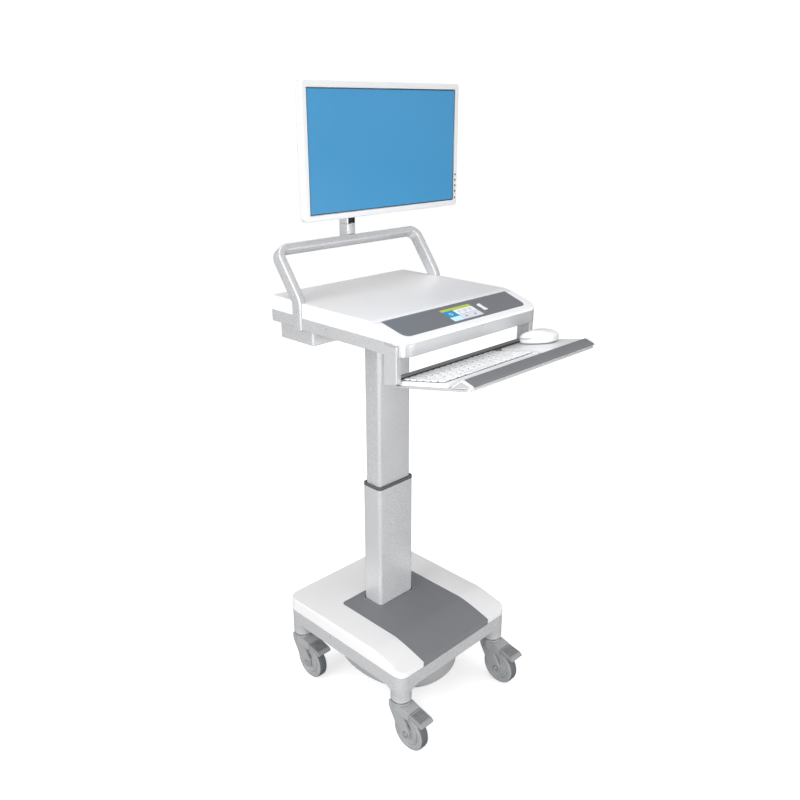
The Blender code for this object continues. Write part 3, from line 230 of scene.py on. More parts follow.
def lathe(profile, axis="X", segments=64, centre=(0, 0, 0)):
    """A closed profile of (along, radius) points turned about an axis."""
    rings = []
    for step in range(segments):
        angle = 2 * pi * step / segments
        rings.append([Vector((r * cos(angle), r * sin(angle), a)) for a, r in profile])
    mesh = loft(rings, closed=True)
    mesh.transform(Matrix.Translation(centre) @ TURNS[axis])
    return mesh


def there_and_back(profile):
    """A profile of (along, radius) points, followed by its mirror image."""
    return profile + [(-along, radius) for along, radius in reversed(profile)]


def placed(name, data):
    obj = bpy.data.objects.new(name, data)
    bpy.context.scene.collection.objects.link(obj)
    return obj


def evaluated(obj):
    """The object's mesh with its modifiers applied; the object is removed."""
    bpy.context.view_layer.update()
    graph = bpy.context.evaluated_depsgraph_get()
    mesh = bpy.data.meshes.new_from_object(obj.evaluated_get(graph))
    bpy.data.objects.remove(obj)
    return mesh


def carve(mesh, cuts=(), adds=(), keep=None):
    """The mesh with others joined to it, then others cut from it, then only what is in keep."""
    obj = placed("temporary", mesh)
    tools = []
    steps = [("UNION", add) for add in adds] + [("DIFFERENCE", item) for item in cuts]
    if keep:
        steps.append(("INTERSECT", keep))
    for operation, tool_mesh in steps:
        tools.append(placed("temporary", tool_mesh))
        modifier = obj.modifiers.new(operation, "BOOLEAN")
        modifier.operation = operation
        modifier.solver = "EXACT"
        modifier.object = tools[-1]
    result = evaluated(obj)
    for tool in tools:
        bpy.data.objects.remove(tool)
    return result


def round_edges(mesh, width, segments, chosen):
    """Rounds the edges for which chosen(first corner, second corner) is true."""
    bm = bmesh.new()
    bm.from_mesh(mesh)
    edges = [edge for edge in bm.edges if chosen(edge.verts[0].co, edge.verts[1].co)]
    bmesh.ops.bevel(bm, geom=edges, offset=width, segments=segments, affect="EDGES", profile=0.5)
    return mesh_from(bm)


def lies_at(axis, level):
    """Chooses the edges in one plane across an axis, for round_edges."""
    return lambda a, b: all(abs(point[axis] - level) < TINY for point in (a, b))


def near_outline(point, outline):
    place = Vector((point.x, point.y))
    for first, second in zip(outline, outline[1:] + outline[:1]):
        run = second - first
        if run.length < 1e-9:
            continue
        share = min(1.0, max(0.0, (place - first).dot(run) / run.length_squared))
        if (first + run * share - place).length < TINY:
            return True
    return False


def runs_along(outline, lowest):
    """Chooses the edges above a level that follow an outline seen from above."""
    return lambda a, b: all(
        point.z > lowest and near_outline(point, outline) for point in (a, b)
    )


def moved(mesh, matrix):
    own = mesh.copy()
    own.transform(matrix)
    return own


def two_tone(mesh, materials, chosen):
    """Gives the second material to faces for which chosen(centre, highest corner) is true."""
    mesh.materials.clear()
    for material in materials:
        mesh.materials.append(material)
    for face in mesh.polygons:
        top = max(mesh.vertices[index].co.z for index in face.vertices)
        if chosen(face.center, top):
            face.material_index = 1


def inside(x, y, z):
    """Chooses the faces whose centre lies in a box, for two_tone."""
    return lambda c, top: all(low < value < high for value, (low, high) in zip(c, (x, y, z)))


def soften(obj, width, segments, angle):
    modifier = obj.modifiers.new("soft_edges", "BEVEL")
    modifier.width = width
    modifier.segments = segments
    modifier.limit_method = "ANGLE"
    modifier.angle_limit = radians(angle)
    return modifier


def piece(
    node, mesh, material=None, bevel=0.0, segments=3, angle=32.0, clamp=False, name=None
):
    """A visible piece that stands for a CAD node, rides on its body and has softened edges.

    A mesh that has its own materials already comes without one.
    """
    mesh.transform(Matrix.Translation(COLUMN))
    if material:
        mesh.materials.clear()
        mesh.materials.append(material)
    mesh.shade_smooth()
    mesh.name = name or node.capitalize()
    obj = placed(mesh.name, mesh)
    if bevel:
        modifier = soften(obj, bevel, segments, angle)
        modifier.harden_normals = True
        modifier.miter_outer = "MITER_ARC"
        modifier.use_clamp_overlap = clamp
    else:
        mesh.set_sharp_from_angle(angle=radians(angle))
    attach(obj, frame["nodes"][node]["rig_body"])
    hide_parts(node)


# --- materials
def srgb(colour):
    """Linear colour from screen values between 0 and 255."""
    return tuple(((v / 255 + 0.055) / 1.055) ** 2.4 if v > 10 else v / 255 / 12.92 for v in colour)


class Nodes:
    """A node tree in which each new node's inputs are set to values or linked to outputs."""

    def __init__(self, tree):
        self.tree = tree

    def fill(self, node, inputs):
        for name, value in inputs.items():
            if isinstance(value, bpy.types.NodeSocket):
                self.tree.links.new(value, node.inputs[name])
            else:
                node.inputs[name].default_value = value

    def add(self, kind, inputs, output, **settings):
        node = self.tree.nodes.new("ShaderNode" + kind)
        for key, value in settings.items():
            setattr(node, key, value)
        self.fill(node, inputs)
        return node.outputs[output]


class Shader(Nodes):
    """A Principled material."""

    def __init__(self, name):
        self.material = bpy.data.materials.new(name)
        self.material.use_nodes = True
        super().__init__(self.material.node_tree)
        self.place = self.add("TexCoord", {}, "Object")

    def finish(self, **inputs):
        """Fills the Principled node's inputs, named with _ for each space."""
        main = self.tree.nodes["Principled BSDF"]
        self.fill(main, {name.replace("_", " "): value for name, value in inputs.items()})
        return self.material

    def noise(self, scale, detail=2.0):
        inputs = {"Scale": scale, "Detail": detail, "Vector": self.place}
        return self.add("TexNoise", inputs, "Fac")

    def remap(self, value, low, high, start=0.3, end=0.7):
        inputs = {"From Min": start, "From Max": end, "To Min": low, "To Max": high}
        return self.add("MapRange", {**inputs, "Value": value}, "Result")

    def times(self, first, second):
        return self.add("Math", {0: first, 1: second}, 0, operation="MULTIPLY")

    def scaled(self, colour, factor):
        """A colour multiplied by a varying factor."""
        return self.add("VectorMath", {0: colour, "Scale": factor}, 0, operation="SCALE")

    def mix(self, factor, first, second):
        return self.add("Mix", {0: factor, 6: first, 7: second}, 2, data_type="RGBA")

    def wide_normal(self, radius, samples):
        """Normals averaged over a radius, which turn smoothly across narrower edges."""
        return self.add("Bevel", {"Radius": radius}, 0, samples=samples)

    def edges(self, radius):
        """Near 1 on sharp outside edges and 0 on flat faces."""
        inputs = {0: self.wide_normal(radius, 4), 1: self.add("NewGeometry", {}, "Normal")}
        dot = self.add("VectorMath", inputs, "Value", operation="DOT_PRODUCT")
        return self.remap(dot, 1.0, 0.0, 0.75, 0.965)


def moulded(
    name, colour, roughness, grain, cloud, worn_edge_and_highlight, texture, relief, metallic=0.0, swing=0.08, soft=0.0
):
    """Plastic or paint: faint clouds and grain, uneven gloss, a fine skin, and edges lightened
    partly by rubbed wear and partly as a painted highlight.

    The skin's relief lies on normals that turn smoothly across edges narrower than soft.
    """
    shader = Shader(name)
    clouds = shader.remap(shader.noise(7.0, 3.0), 1.0 - cloud, 1.0 + cloud)
    fine = shader.remap(shader.noise(texture), 1.0 - grain, 1.0 + grain)
    shade = shader.scaled(srgb(colour), shader.times(clouds, fine))
    # Edges turn to the lighter colour: partly rubbed wear, partly a painted highlight for light
    # caught on rounded edges.
    if worn_edge_and_highlight:
        patchy = shader.remap(shader.noise(60.0, 3.0), 0.15, 1.0, 0.35, 0.65)
        rubbed_and_highlit = shader.times(shader.edges(0.0012), patchy)
        shade = shader.mix(rubbed_and_highlit, shade, (*srgb(worn_edge_and_highlight), 1.0))
    gloss = shader.remap(shader.noise(24.0, 4.0), roughness - swing, roughness + swing, 0.1, 0.9)
    skin = {"Height": shader.noise(texture, 3.0), "Strength": relief, "Distance": 0.00025}
    if soft:
        skin["Normal"] = shader.wide_normal(soft, 6)
    normal = shader.add("Bump", skin, "Normal")
    return shader.finish(Base_Color=shade, Roughness=gloss, Metallic=metallic, Normal=normal)


def smooth_white(name, colour, roughness):
    return moulded(name, colour, roughness, 0.012, 0.012, None, 1500, 0.05, swing=0.04)


def glowing(name, colour, strength, roughness=0.2):
    """Part of a lit screen: a plain colour with faint pixel rows and a slow falloff."""
    shader = Shader(name)
    rows = shader.remap(shader.noise(900.0, 0.0), 0.985, 1.015)
    slow = shader.remap(shader.noise(3.0, 1.0), 0.97, 1.03)
    lit = shader.scaled(srgb(colour), shader.times(rows, slow))
    gloss = shader.remap(shader.noise(6.0), roughness - 0.02, roughness + 0.03)
    return shader.finish(
        Base_Color=lit, Emission_Color=lit, Emission_Strength=strength, Roughness=gloss
    )


# Name, colour, roughness, grain, cloud, lighter edges' colour (worn and painted highlight),
# texture's scale, relief, metallic
SILVER = moulded(
    "silver_paint", (208, 209, 211), 0.32, 0.22, 0.02, (236, 237, 238), 560, 0.26, 0.4
)
# The silver paint darkened as painted shade, for the underpan that sits in the base's shadow.
PAN_SILVER_PAINTED_SHADE = moulded(
    "pan_paint_painted_shade", (186, 187, 189), 0.45, 0.16, 0.03, (210, 210, 212), 560, 0.22, 0.3
)
WHITE = smooth_white("white_plastic", (242, 242, 243), 0.3)
# White plastic darkened as painted shade, so the base cover's top is no brighter than the worktop;
# the mouse platform uses it too.
BASE_WHITE_PAINTED_SHADE = smooth_white("base_white_painted_shade", (229, 229, 230), 0.32)
MONITOR_WHITE = smooth_white("monitor_white", (222, 223, 225), 0.32)
KEY_WHITE = moulded(
    "key_white", (246, 246, 247), 0.42, 0.015, 0.02, (250, 250, 250), 1800, 0.08
)
MOUSE_WHITE = moulded("mouse_white", (244, 244, 245), 0.2, 0.01, 0.01, None, 1500, 0.03)
# Painted shade: this dark grey on the plate between the keys and on the caps' lower sides stands in
# for the shadow between the keys.
KEY_GAP_PAINTED_SHADE = moulded("key_gap_painted_shade", (96, 98, 102), 0.55, 0.02, 0.03, None, 1500, 0.1)
DARK = moulded(
    "dark_grey_plastic", (118, 120, 124), 0.48, 0.05, 0.03, (160, 162, 165), 900, 0.18
)
PANEL_DARK = moulded(
    "panel_dark_grey", (114, 116, 121), 0.36, 0.03, 0.02, (150, 152, 156), 1300, 0.06
)
PAD_DARK = moulded("wrist_rest_vinyl", (116, 118, 121), 0.55, 0.06, 0.04, None, 700, 0.35)
CASTER = moulded(
    "caster_nylon", (158, 160, 161), 0.46, 0.06, 0.04, (200, 201, 202), 800, 0.22, soft=0.0014
)
HOOD = moulded(
    "hood_nylon", (140, 142, 143), 0.5, 0.06, 0.04, (186, 187, 188), 800, 0.22, soft=0.0022
)
TREAD = moulded("caster_tread", (92, 95, 99), 0.72, 0.08, 0.05, (130, 132, 134), 600, 0.35)
RAIL_GREY = moulded("rail_grey", (156, 158, 160), 0.45, 0.08, 0.04, (190, 191, 193), 900, 0.15)
# Painted shade: the dark grey inside the rail's groove stands in for the groove's shadow.
RAIL_GROOVE_PAINTED_SHADE = moulded("rail_groove_painted_shade", (84, 86, 89), 0.5, 0.05, 0.04, (120, 122, 124), 900, 0.15)
BLACK = moulded("black_plastic", (30, 31, 33), 0.45, 0.08, 0.05, (70, 70, 72), 1100, 0.12)
SEAL = moulded("wiper_rubber", (88, 90, 93), 0.6, 0.06, 0.04, None, 900, 0.2)
STEEL = moulded(
    "bright_steel", (180, 181, 183), 0.28, 0.05, 0.05, (215, 215, 216), 500, 0.08, 1.0
)
CASTING = moulded("cast_weight", (96, 96, 98), 0.62, 0.12, 0.08, (130, 130, 132), 400, 0.5, 0.6)


# --- base
FRAME_LOW, FRAME_HIGH = local_box("base_frame")
COVER_LOW, COVER_HIGH = local_box("base_cover")
CORNER_R = 0.027
SKIRT_LOW = 0.172
POST_R = 0.0268
POST_X = FRAME_HIGH.x - CORNER_R
POST_YS = {"front": FRAME_LOW.y + CORNER_R, "rear": FRAME_HIGH.y - CORNER_R}
FLARE = 0.02  # reach of the cast blend between a post and the skirt
COVER_WALL = 0.003
COVER_BEND_Y = -0.152
COVER_FRONT_Z = 0.225


def base_outline(inset=0.0, steps=12):
    return plan(FRAME_LOW, FRAME_HIGH, CORNER_R - inset, inset, steps)


def post_flare(x, y):
    """The blend between a post and the skirt's lower edge, kept inside the skirt's outline."""
    top, bottom = SKIRT_LOW + 0.001, SKIRT_LOW - FLARE
    profile = [(top, 0.01), (bottom, 0.01)]
    for step in range(9):
        angle = pi / 2 * step / 8
        radius = POST_R - 0.0012 + FLARE * (1 - cos(angle))
        profile.append((SKIRT_LOW - FLARE * (1 - sin(angle)), radius))
    profile.append((top, POST_R + FLARE))
    keep = prism(base_outline(0.0001), (0.1, SKIRT_LOW + 0.0015))
    return carve(lathe(profile, "Z", 48, (x, y, 0)), keep=keep)


def base_frame():
    skirt = prism(base_outline(), (SKIRT_LOW, FRAME_HIGH.z))
    posts, flares, bores = [], [], []
    for y in POST_YS.values():
        for x in (-POST_X, POST_X):
            centre = (x, y, 0)
            posts.append(cylinder(POST_R, (FRAME_LOW.z, FRAME_HIGH.z - 0.002), centre))
            bores.append(cylinder(0.0062, (FRAME_LOW.z - OVER, SKIRT_LOW), centre, segments=24))
            flares.append(post_flare(x, y))
    hollow = prism(base_outline(0.006), (SKIRT_LOW - OVER, FRAME_HIGH.z - 0.0055))
    shell = carve(carve(carve(skirt, [hollow]), [], posts + flares), bores)
    piece("base_frame", shell, SILVER, 0.0011, 2, clamp=True, name="Base_skirt")


def cover_profile(drop=0.0):
    """Side view of the space above the base covers, which bend softly down to the front."""
    top = COVER_HIGH.z - drop
    front, rear = FRAME_LOW.y - 0.02, FRAME_HIGH.y + 0.02
    points = [(rear, top)]
    for step in range(13):
        y = COVER_BEND_Y - (COVER_BEND_Y - front) * step / 12
        share = max(0.0, COVER_BEND_Y - y) / (COVER_BEND_Y - FRAME_LOW.y)
        points.append((y, top - (COVER_HIGH.z - COVER_FRONT_Z) * share**1.35))
    return points + [(front, top + 0.05), (rear, top + 0.05)]


def cover_blocks(outline, low):
    """A base cover's solid block and its hollow, from an outline that takes an inset."""
    blocks = []
    for inset, bottom in ((0.0, low), (COVER_WALL, low - OVER)):
        sky = prism(cover_profile(inset), (-WIDE, WIDE), "X")
        blocks.append(carve(prism(outline(inset), (bottom, COVER_HIGH.z + 0.02)), [sky]))
    return blocks


def side_cover_outline(inset):
    notch, back = 0.128 + inset, 0.056 + inset
    front, rear = FRAME_LOW.y + inset, FRAME_HIGH.y - inset
    half = FRAME_HIGH.x - inset
    radius, inner_radius = CORNER_R - inset, 0.012 + inset
    right = [(notch, back, inner_radius), (notch, front, 0), (half, front, radius)]
    corners = mirrored([*right, (half, rear, radius)])
    return fillet(corners[-2:] + corners[:-2], 10)


def base_cover():
    low = COVER_LOW.z
    shell, hollow = cover_blocks(side_cover_outline, low)
    rim = runs_along(base_outline(), COVER_FRONT_Z - 0.004)
    shell = round_edges(
        shell,
        0.0065,
        6,
        lambda a, b: rim(a, b) and all(abs(p.x) > 0.175 or p.y > 0.16 for p in (a, b)),
    )
    inner = prism(base_outline(0.0016), (low - 2 * OVER, low + OVER))
    groove = carve(prism(base_outline(-OVER), (low - OVER, low + 0.0012)), [inner])
    shell = carve(shell, [hollow, groove])
    # The base cover's darker white is painted shade.
    piece("base_cover", shell, BASE_WHITE_PAINTED_SHADE, 0.0006, 2, 40.0, name="Base_side_cover")


def centre_outline(inset):
    low, high = local_box("base_centre_cover")
    half, radius = high.x - inset, 0.0115 - inset
    return fillet(mirrored([(half, low.y + inset, 0), (half, high.y - inset, radius)]), 10)


def round_column(gap, radius):
    """An outline that runs round the column's outer tube at a gap."""
    half_y = (column_high.y - column_low.y) / 2
    return rectangle(both(column_high.x + gap), both(half_y + gap), radius)


def base_centre_cover():
    low, high = local_box("base_centre_cover")
    shell, hollow = cover_blocks(centre_outline, low.z)
    raised = prism(round_column(0.008, 0.018), (COVER_HIGH.z - 0.001, high.z))
    raised = round_edges(raised, 0.001, 3, lies_at(2, high.z))
    opening = prism(round_column(0.0028, 0.0128), (low.z - OVER, high.z + OVER))
    shell = carve(shell, [hollow, opening], [raised])
    piece("base_centre_cover", shell, DARK, 0.0008, 2, 40.0)


# Height, half width, half depth and the roundness of the pan's plan there
PAN_MID = 0.125
PAN_LEVELS = (
    (0.064, 0.14, 0.174, 2.2),
    (PAN_MID, 0.151, 0.1805, 2.3),
    (0.1716, 0.18, 0.2, 2.6),
)
PAN_FOOT = 0.018


def pan_ring(height, shrink, sides=96):
    """Points round the pan at one height, on a curve between an ellipse and a rectangle."""
    low, high = local_box("underpan")
    middle = (low.y + high.y) / 2
    first, second = PAN_LEVELS[:2] if height <= PAN_MID else PAN_LEVELS[1:]
    share = (height - first[0]) / (second[0] - first[0])
    half_x, half_y, power = (a + (b - a) * share for a, b in zip(first[1:], second[1:]))
    points = []
    for step in range(sides):
        angle = 2 * pi * (step + 0.5) / sides
        across, along = cos(angle), sin(angle)
        stretch = (abs(across) ** power + abs(along) ** power) ** (-1 / power)
        x, y = (half_x - shrink) * across * stretch, (half_y - shrink) * along * stretch
        points.append(Vector((x, y + middle, height)))
    return points


def underpan():
    """A deep tub with a rounded foot, whose sides widen upwards."""
    low, high = local_box("underpan")
    rings = [pan_ring(low.z, PAN_FOOT * 2.2), pan_ring(low.z, PAN_FOOT)]
    for step in range(1, 9):
        angle = pi / 2 * step / 8
        height = low.z + PAN_FOOT * (1 - cos(angle))
        rings.append(pan_ring(height, PAN_FOOT * (1 - sin(angle))))
    rings += [pan_ring(height, 0) for height in (0.095, 0.116, PAN_MID, 0.134, 0.15, high.z)]
    rings += [pan_ring(high.z, 0.003), pan_ring(PAN_MID, 0.004), pan_ring(low.z + 0.03, 0.004)]
    rings.append(pan_ring(low.z + 0.004, PAN_FOOT))
    # The underpan's darker silver is painted shade.
    piece("underpan", loft(rings), PAN_SILVER_PAINTED_SHADE, angle=50.0, name="Base_underpan")


# --- casters
TRAIL = 0.036
WHEEL_R = 0.05
FORK_HALF = 0.0215
HUB_HALF = 0.0122
TYRE_HALF = 0.0112
HOOD_BACK, HOOD_TOP = -0.047, 0.1168
PEDAL_DROP = (HOOD_TOP - 0.1095) / 0.04


def fork_mesh():
    """The fork casting: neck and collar, two paddle-shaped cheeks and the wheel's hood."""
    cheek = [(0.024, 0.1236, 0.002), (0.024, 0.104, 0.03), (-0.013, 0.043, 0.014)]
    cheek += [(-0.027, 0.0365, 0.013), (-0.045, 0.037, 0.012), (-0.049, 0.056, 0.012)]
    cheek += [(-0.025, 0.0945, 0.002), (-0.0462, 0.0975, 0), (-0.0462, 0.1172, 0)]
    cheek.append((-0.023, 0.1236, 0.01))
    body = prism(fillet(cheek, 6), both(FORK_HALF), "X")
    neck = lathe([(0.1036, 0.002), (0.1036, 0.0245), (0.1236, 0.0245), (0.1236, 0.002)], "Z", 48)
    collar = [(0.1226, 0.002), (0.1226, 0.0242), (0.1246, 0.0258), (0.129, 0.0258)]
    collar += [(0.13, 0.0246), (0.1312, 0.0246), (0.1322, 0.0256), (0.1338, 0.0256)]
    collar += [(0.1343, 0.025), (0.1343, 0.002)]
    collar = lathe(collar, "Z", 48)
    core = cylinder(0.006, (0.104, 0.168), (0, 0, 0), segments=24)
    slot = box(both(0.0133), (-0.11, 0.0172), (0.01, 0.1036))
    axle = (0, -TRAIL, WHEEL_R)
    boss = cylinder(0.0085, both(FORK_HALF + 0.0006), axle, "X", 32)
    pin = cylinder(0.004, both(FORK_HALF - 0.002), axle, "X", 24)
    panel = [(0.0165, 0.099, 0.003), (-0.016, 0.0475, 0.008), (-0.03, 0.041, 0.008)]
    panel += [(-0.042, 0.043, 0.008), (-0.0445, 0.056, 0.008), (-0.0215, 0.0935, 0.003)]
    recesses, panels = [], []
    for side in SIDES:
        near, far = side * (FORK_HALF - 0.0005), side * (FORK_HALF + 0.002)
        groove = [(near, 0.0058), (far, 0.0058), (far, 0.007), (near, 0.007)]
        recesses.append(lathe(groove, "X", 32, axle))
        span = sided(side, FORK_HALF - 0.001, FORK_HALF + 0.002)
        panels.append(prism(fillet(panel, 5), span, "X"))
    fork = carve(carve(body, panels), [slot], [neck, collar, core])
    return carve(fork, [], [pin, carve(boss, [slot.copy()] + recesses)])


def wheel_meshes():
    """The tyre and the hub, turned about the X axis through their centre."""
    tyre = [(0.0, 0.044), (0.0, 0.0482), (0.0012, 0.0494), (0.004, 0.05)]
    hub = [(0.0, 0.0043), (0.0, 0.012), (0.0024, 0.0128), (0.003, 0.014), (0.003, 0.0255)]
    hub += [(0.0006, 0.0268), (0.0, 0.028), (0.0, 0.0308), (0.0028, 0.0314), (0.003, 0.0334)]
    hub += [(0.0006, 0.0342), (0.0, 0.035), (0.0, 0.0394), (0.001, 0.0398), (0.001, 0.0408)]
    hub += [(0.0, 0.0412), (0.0, 0.0468), (0.0004, 0.0476), (0.0009, 0.0479), (0.0009, 0.0437)]
    tyre = [(inward - TYRE_HALF, radius) for inward, radius in tyre]
    hub = [(HUB_HALF - inward, radius) for inward, radius in hub]
    return [lathe(there_and_back(profile), "X", 72) for profile in (tyre, hub)]


def pedal_mesh():
    """The brake pedal: the outer half of the hood, with shallow ribs across its top."""
    outline = [(HOOD_BACK, HOOD_TOP, 0), (HOOD_BACK, 0.104, 0), (-0.0895, 0.0965, 0.003)]
    outline += [(-0.0945, 0.1015, 0.003), (-0.087, 0.1095, 0.006)]
    grooves = []
    for step in range(5):
        y = -0.056 - 0.0062 * step
        z = HOOD_TOP - PEDAL_DROP * (HOOD_BACK - y)
        grooves.append(box(both(0.0165), about(y, 0.0009), (z - 0.0006, z + OVER)))
    return carve(prism(fillet(outline, 6), both(FORK_HALF), "X"), grooves)


def casters():
    fork, pedal = fork_mesh(), pedal_mesh()
    tyre, hub = wheel_meshes()
    for end, y in POST_YS.items():
        for side, x in (("left", -POST_X), ("right", POST_X)):
            place = f"_{end}_{side}"
            post = Matrix.Translation((x, y, 0))
            axle = Matrix.Translation(pivot("wheel_spin" + place))
            piece("caster_fork" + place, moved(fork, post), CASTER, 0.0012, 3, 35.0)
            piece("caster_tyre" + place, moved(tyre, axle), TREAD, angle=40.0)
            piece("caster_hub" + place, moved(hub, axle), CASTER, angle=40.0)
            piece("brake_pedal" + place, moved(pedal, post), HOOD, 0.0014, 3, 35.0)


# --- column
def tube(node, wall, radius):
    low, high = local_box(node)
    bore = prism(plan(low, high, max(radius - wall, 0.001), wall), (low.z - OVER, high.z + OVER))
    return carve(prism(plan(low, high, radius), (low.z, high.z)), [bore])


def column():
    for node, wall, radius in (
        ("column_lower_tube", 0.003, 0.01),
        ("column_upper_tube", 0.0025, 0.008),
    ):
        piece(node, tube(node, wall, radius), SILVER, 0.0006, 2)
    ring = tube("column_wiper_ring", 0.0059, 0.0105)
    low, high = local_box("column_wiper_ring")
    middle = (low.z + high.z) / 2
    line = prism(plan(low, high, 0.0099, 0.0006), about(middle, OVER))
    groove = carve(prism(plan(low, high, 0.02, -OVER), about(middle, 0.0006)), [line])
    piece("column_wiper_ring", carve(ring, [groove]), SEAL, 0.0006, 2)


# --- head
HEAD_LOW, HEAD_HIGH = local_box("head_frame")
TOP_LOW, TOP_HIGH = local_box("top_cover")
HEAD_WALL = 0.004
REAR_HALF = 0.229
FRONT_R, REAR_R = 0.035, 0.01
LEG_FRONT = 0.04
BAR_DEPTH, BAR_THICKNESS = 0.0325, 0.018
LEG_OUTER = local_box("handle_loop")[1].x
LEG_INNER = LEG_OUTER - BAR_THICKNESS
PAST_SIDE = 0.26
SLOPE = radians(16.7)
SLOPE_Y = -0.19
SLOPE_SOFT = 0.012
# The control panel's and the display's places on the slope, measured down it from its top
ROCKER_X, ROCKER_DOWN, ROCKER_HALF = 0.081, 0.048, 0.0138
DISPLAY_X, DISPLAY_Y = (-0.0427, 0.0577), (-0.0752, -0.0228)
GLASS_TOP = -0.0003
PRINT = 0.00003  # how far each printed layer of the display stands off the one below


def head_outline(inset=0.0, ease=0.0):
    """Plan of the head: wide in front of the handle's legs, slightly narrower behind them."""
    wide, narrow = HEAD_HIGH.x - inset, REAR_HALF - inset
    step = LEG_FRONT + BAR_DEPTH / 2
    right = [(wide, HEAD_LOW.y + inset, FRONT_R - inset), (wide, step - ease, 0)]
    right += [(narrow, step + ease, 0), (narrow, HEAD_HIGH.y - inset, REAR_R - inset / 2)]
    return fillet(mirrored(right), 12)


def leg_boxes(clearance, behind):
    """Cuts for the handle's legs, open to the cart's sides."""
    y = (LEG_FRONT - clearance, LEG_FRONT + BAR_DEPTH + behind)
    z = (HEAD_LOW.z - OVER, TOP_HIGH.z + OVER)
    return [box(sided(side, LEG_INNER - clearance, PAST_SIDE), y, z) for side in SIDES]


def pocket_walls(low, high):
    """The walls that line the legs' pockets."""
    y = (LEG_FRONT - 0.006, LEG_FRONT + BAR_DEPTH + 0.008)
    return [
        box(sided(side, LEG_INNER - 0.0065, REAR_HALF - 0.002), y, (low, high)) for side in SIDES
    ]


def head_frame():
    low, high = HEAD_LOW.z, HEAD_HIGH.z
    band = prism(head_outline(), (low, high))
    hollow = prism(head_outline(HEAD_WALL), (low + 0.0055, high + OVER))
    hole = prism(rectangle(both(0.0568), both(0.0273), 0.008), about(low, OVER))
    cuts = leg_boxes(0.0003, 0.0003) + [hole]
    for side, node in zip(SIDES, ("tray_bracket_left", "tray_bracket_right")):
        a, b = local_box(node)
        x = sided(side, min(abs(a.x), abs(b.x)) - 0.0003, PAST_SIDE)
        cuts.append(box(x, (a.y - 0.0003, b.y + 0.0003), (low - OVER, b.z + 0.0003)))
    shell = carve(carve(band, [hollow]), cuts, pocket_walls(low + 0.0005, high - 0.0005))
    piece("head_frame", shell, SILVER, 0.0012, 3)


def worktop_profile(drop=0.0):
    """Side view of the space above the worktop, which bends softly to its sloping front."""
    top = TOP_HIGH.z - drop
    front, rear = HEAD_LOW.y - 0.02, HEAD_HIGH.y + 0.02
    points = [(rear, top)]
    for step in range(7):
        share = step / 6
        fall = SLOPE_SOFT * tan(SLOPE) * share * share
        points.append((SLOPE_Y + SLOPE_SOFT - 2 * SLOPE_SOFT * share, top - fall))
    points.append((front, top - (SLOPE_Y - front) * tan(SLOPE)))
    return points + [(front, top + 0.05), (rear, top + 0.05)]


def on_slope(mesh):
    """Puts a mesh on the sloping front: -Y runs down the slope and +Z stands off it."""
    mesh.transform(
        Matrix.Translation((0.0, SLOPE_Y, TOP_HIGH.z)) @ Matrix.Rotation(SLOPE, 4, "X")
    )
    return mesh


def panel_outline(grow=0.0):
    near, far = -0.0095 + grow, -0.0835 - grow
    back, front = 0.212 + grow, 0.207 + grow
    return fillet(mirrored([(front, far, 0.018), (back, near, 0.0015)]), 10)


def rocker_slot(z):
    return box(about(ROCKER_X, 0.0061), about(-ROCKER_DOWN, 0.0148), z)


def top_cover():
    low, high = TOP_LOW.z, TOP_HIGH.z
    outline = head_outline(ease=0.012)
    sky, lower_sky = (
        prism(worktop_profile(drop), (-WIDE, WIDE), "X") for drop in (0.0, HEAD_WALL)
    )
    block = carve(prism(outline, (low, high + 0.02)), [sky])
    hollow = carve(prism(head_outline(HEAD_WALL), (low - OVER, high + 0.02)), [lower_sky])
    well = on_slope(rocker_slot((-0.02, OVER)))
    pocket = on_slope(prism(panel_outline(0.0004), (-0.0015, OVER)))
    shell = carve(block, [pocket, hollow])
    walls = pocket_walls(low + 0.0005, high - 0.002)
    shell = carve(shell, leg_boxes(0.0008, 0.0028) + [well], walls)
    shell = round_edges(shell, 0.0037, 5, runs_along(outline, low + 0.002))
    piece("top_cover", shell, WHITE, 0.0006, 2, 50.0, True, "Worktop_cover")


def control_panel():
    window = box((-0.043, 0.058), (-0.0755, -0.0225), both(OVER))
    slot = rocker_slot(both(OVER))
    plate = carve(prism(panel_outline(), (-0.0012, 0.0)), [window, slot])
    piece("control_panel", on_slope(plate), PANEL_DARK, 0.00025, 2)


DISPLAY_SHADES = {
    "dark": ((60, 64, 70), 0.05),
    "green": ((165, 178, 60), 0.35),
    "cyan": ((10, 138, 186), 0.2),
    "pale_blue": ((178, 212, 226), 0.35),
    "white": ((216, 219, 222), 0.24),
    "lilac": ((192, 195, 203), 0.35),
    "mark": ((110, 116, 128), 0.2),
}
# Each tile's left, right, near and far edge, as shares of the display, its layer and shade
TILES = [
    (0, 1, 0.82, 1, 1, "green"),
    (0, 0.34, 0.34, 0.8, 1, "cyan"),
    (0, 0.34, 0, 0.33, 1, "pale_blue"),
    (0.345, 1, 0.42, 0.81, 1, "white"),
    (0.345, 1, 0, 0.41, 1, "lilac"),
    (0.05, 0.2, 0.145, 0.175, 2, "white"),
]
for left, wide in ((0.44, 0.1), (0.6, 0.16), (0.8, 0.12)):
    TILES.append((left, left + wide, 0.64, 0.67, 2, "mark"))
    TILES.append((left, left + wide * 0.7, 0.54, 0.565, 2, "mark"))
# Each disc's centre, as shares of the display, its radius, layer and shade
DISCS = (
    (0.17, 0.57, 0.005, 2, "white"),
    (0.17, 0.57, 0.0034, 3, "cyan"),
    (0.5, 0.2, 0.003, 2, "mark"),
    (0.8, 0.2, 0.003, 2, "mark"),
)


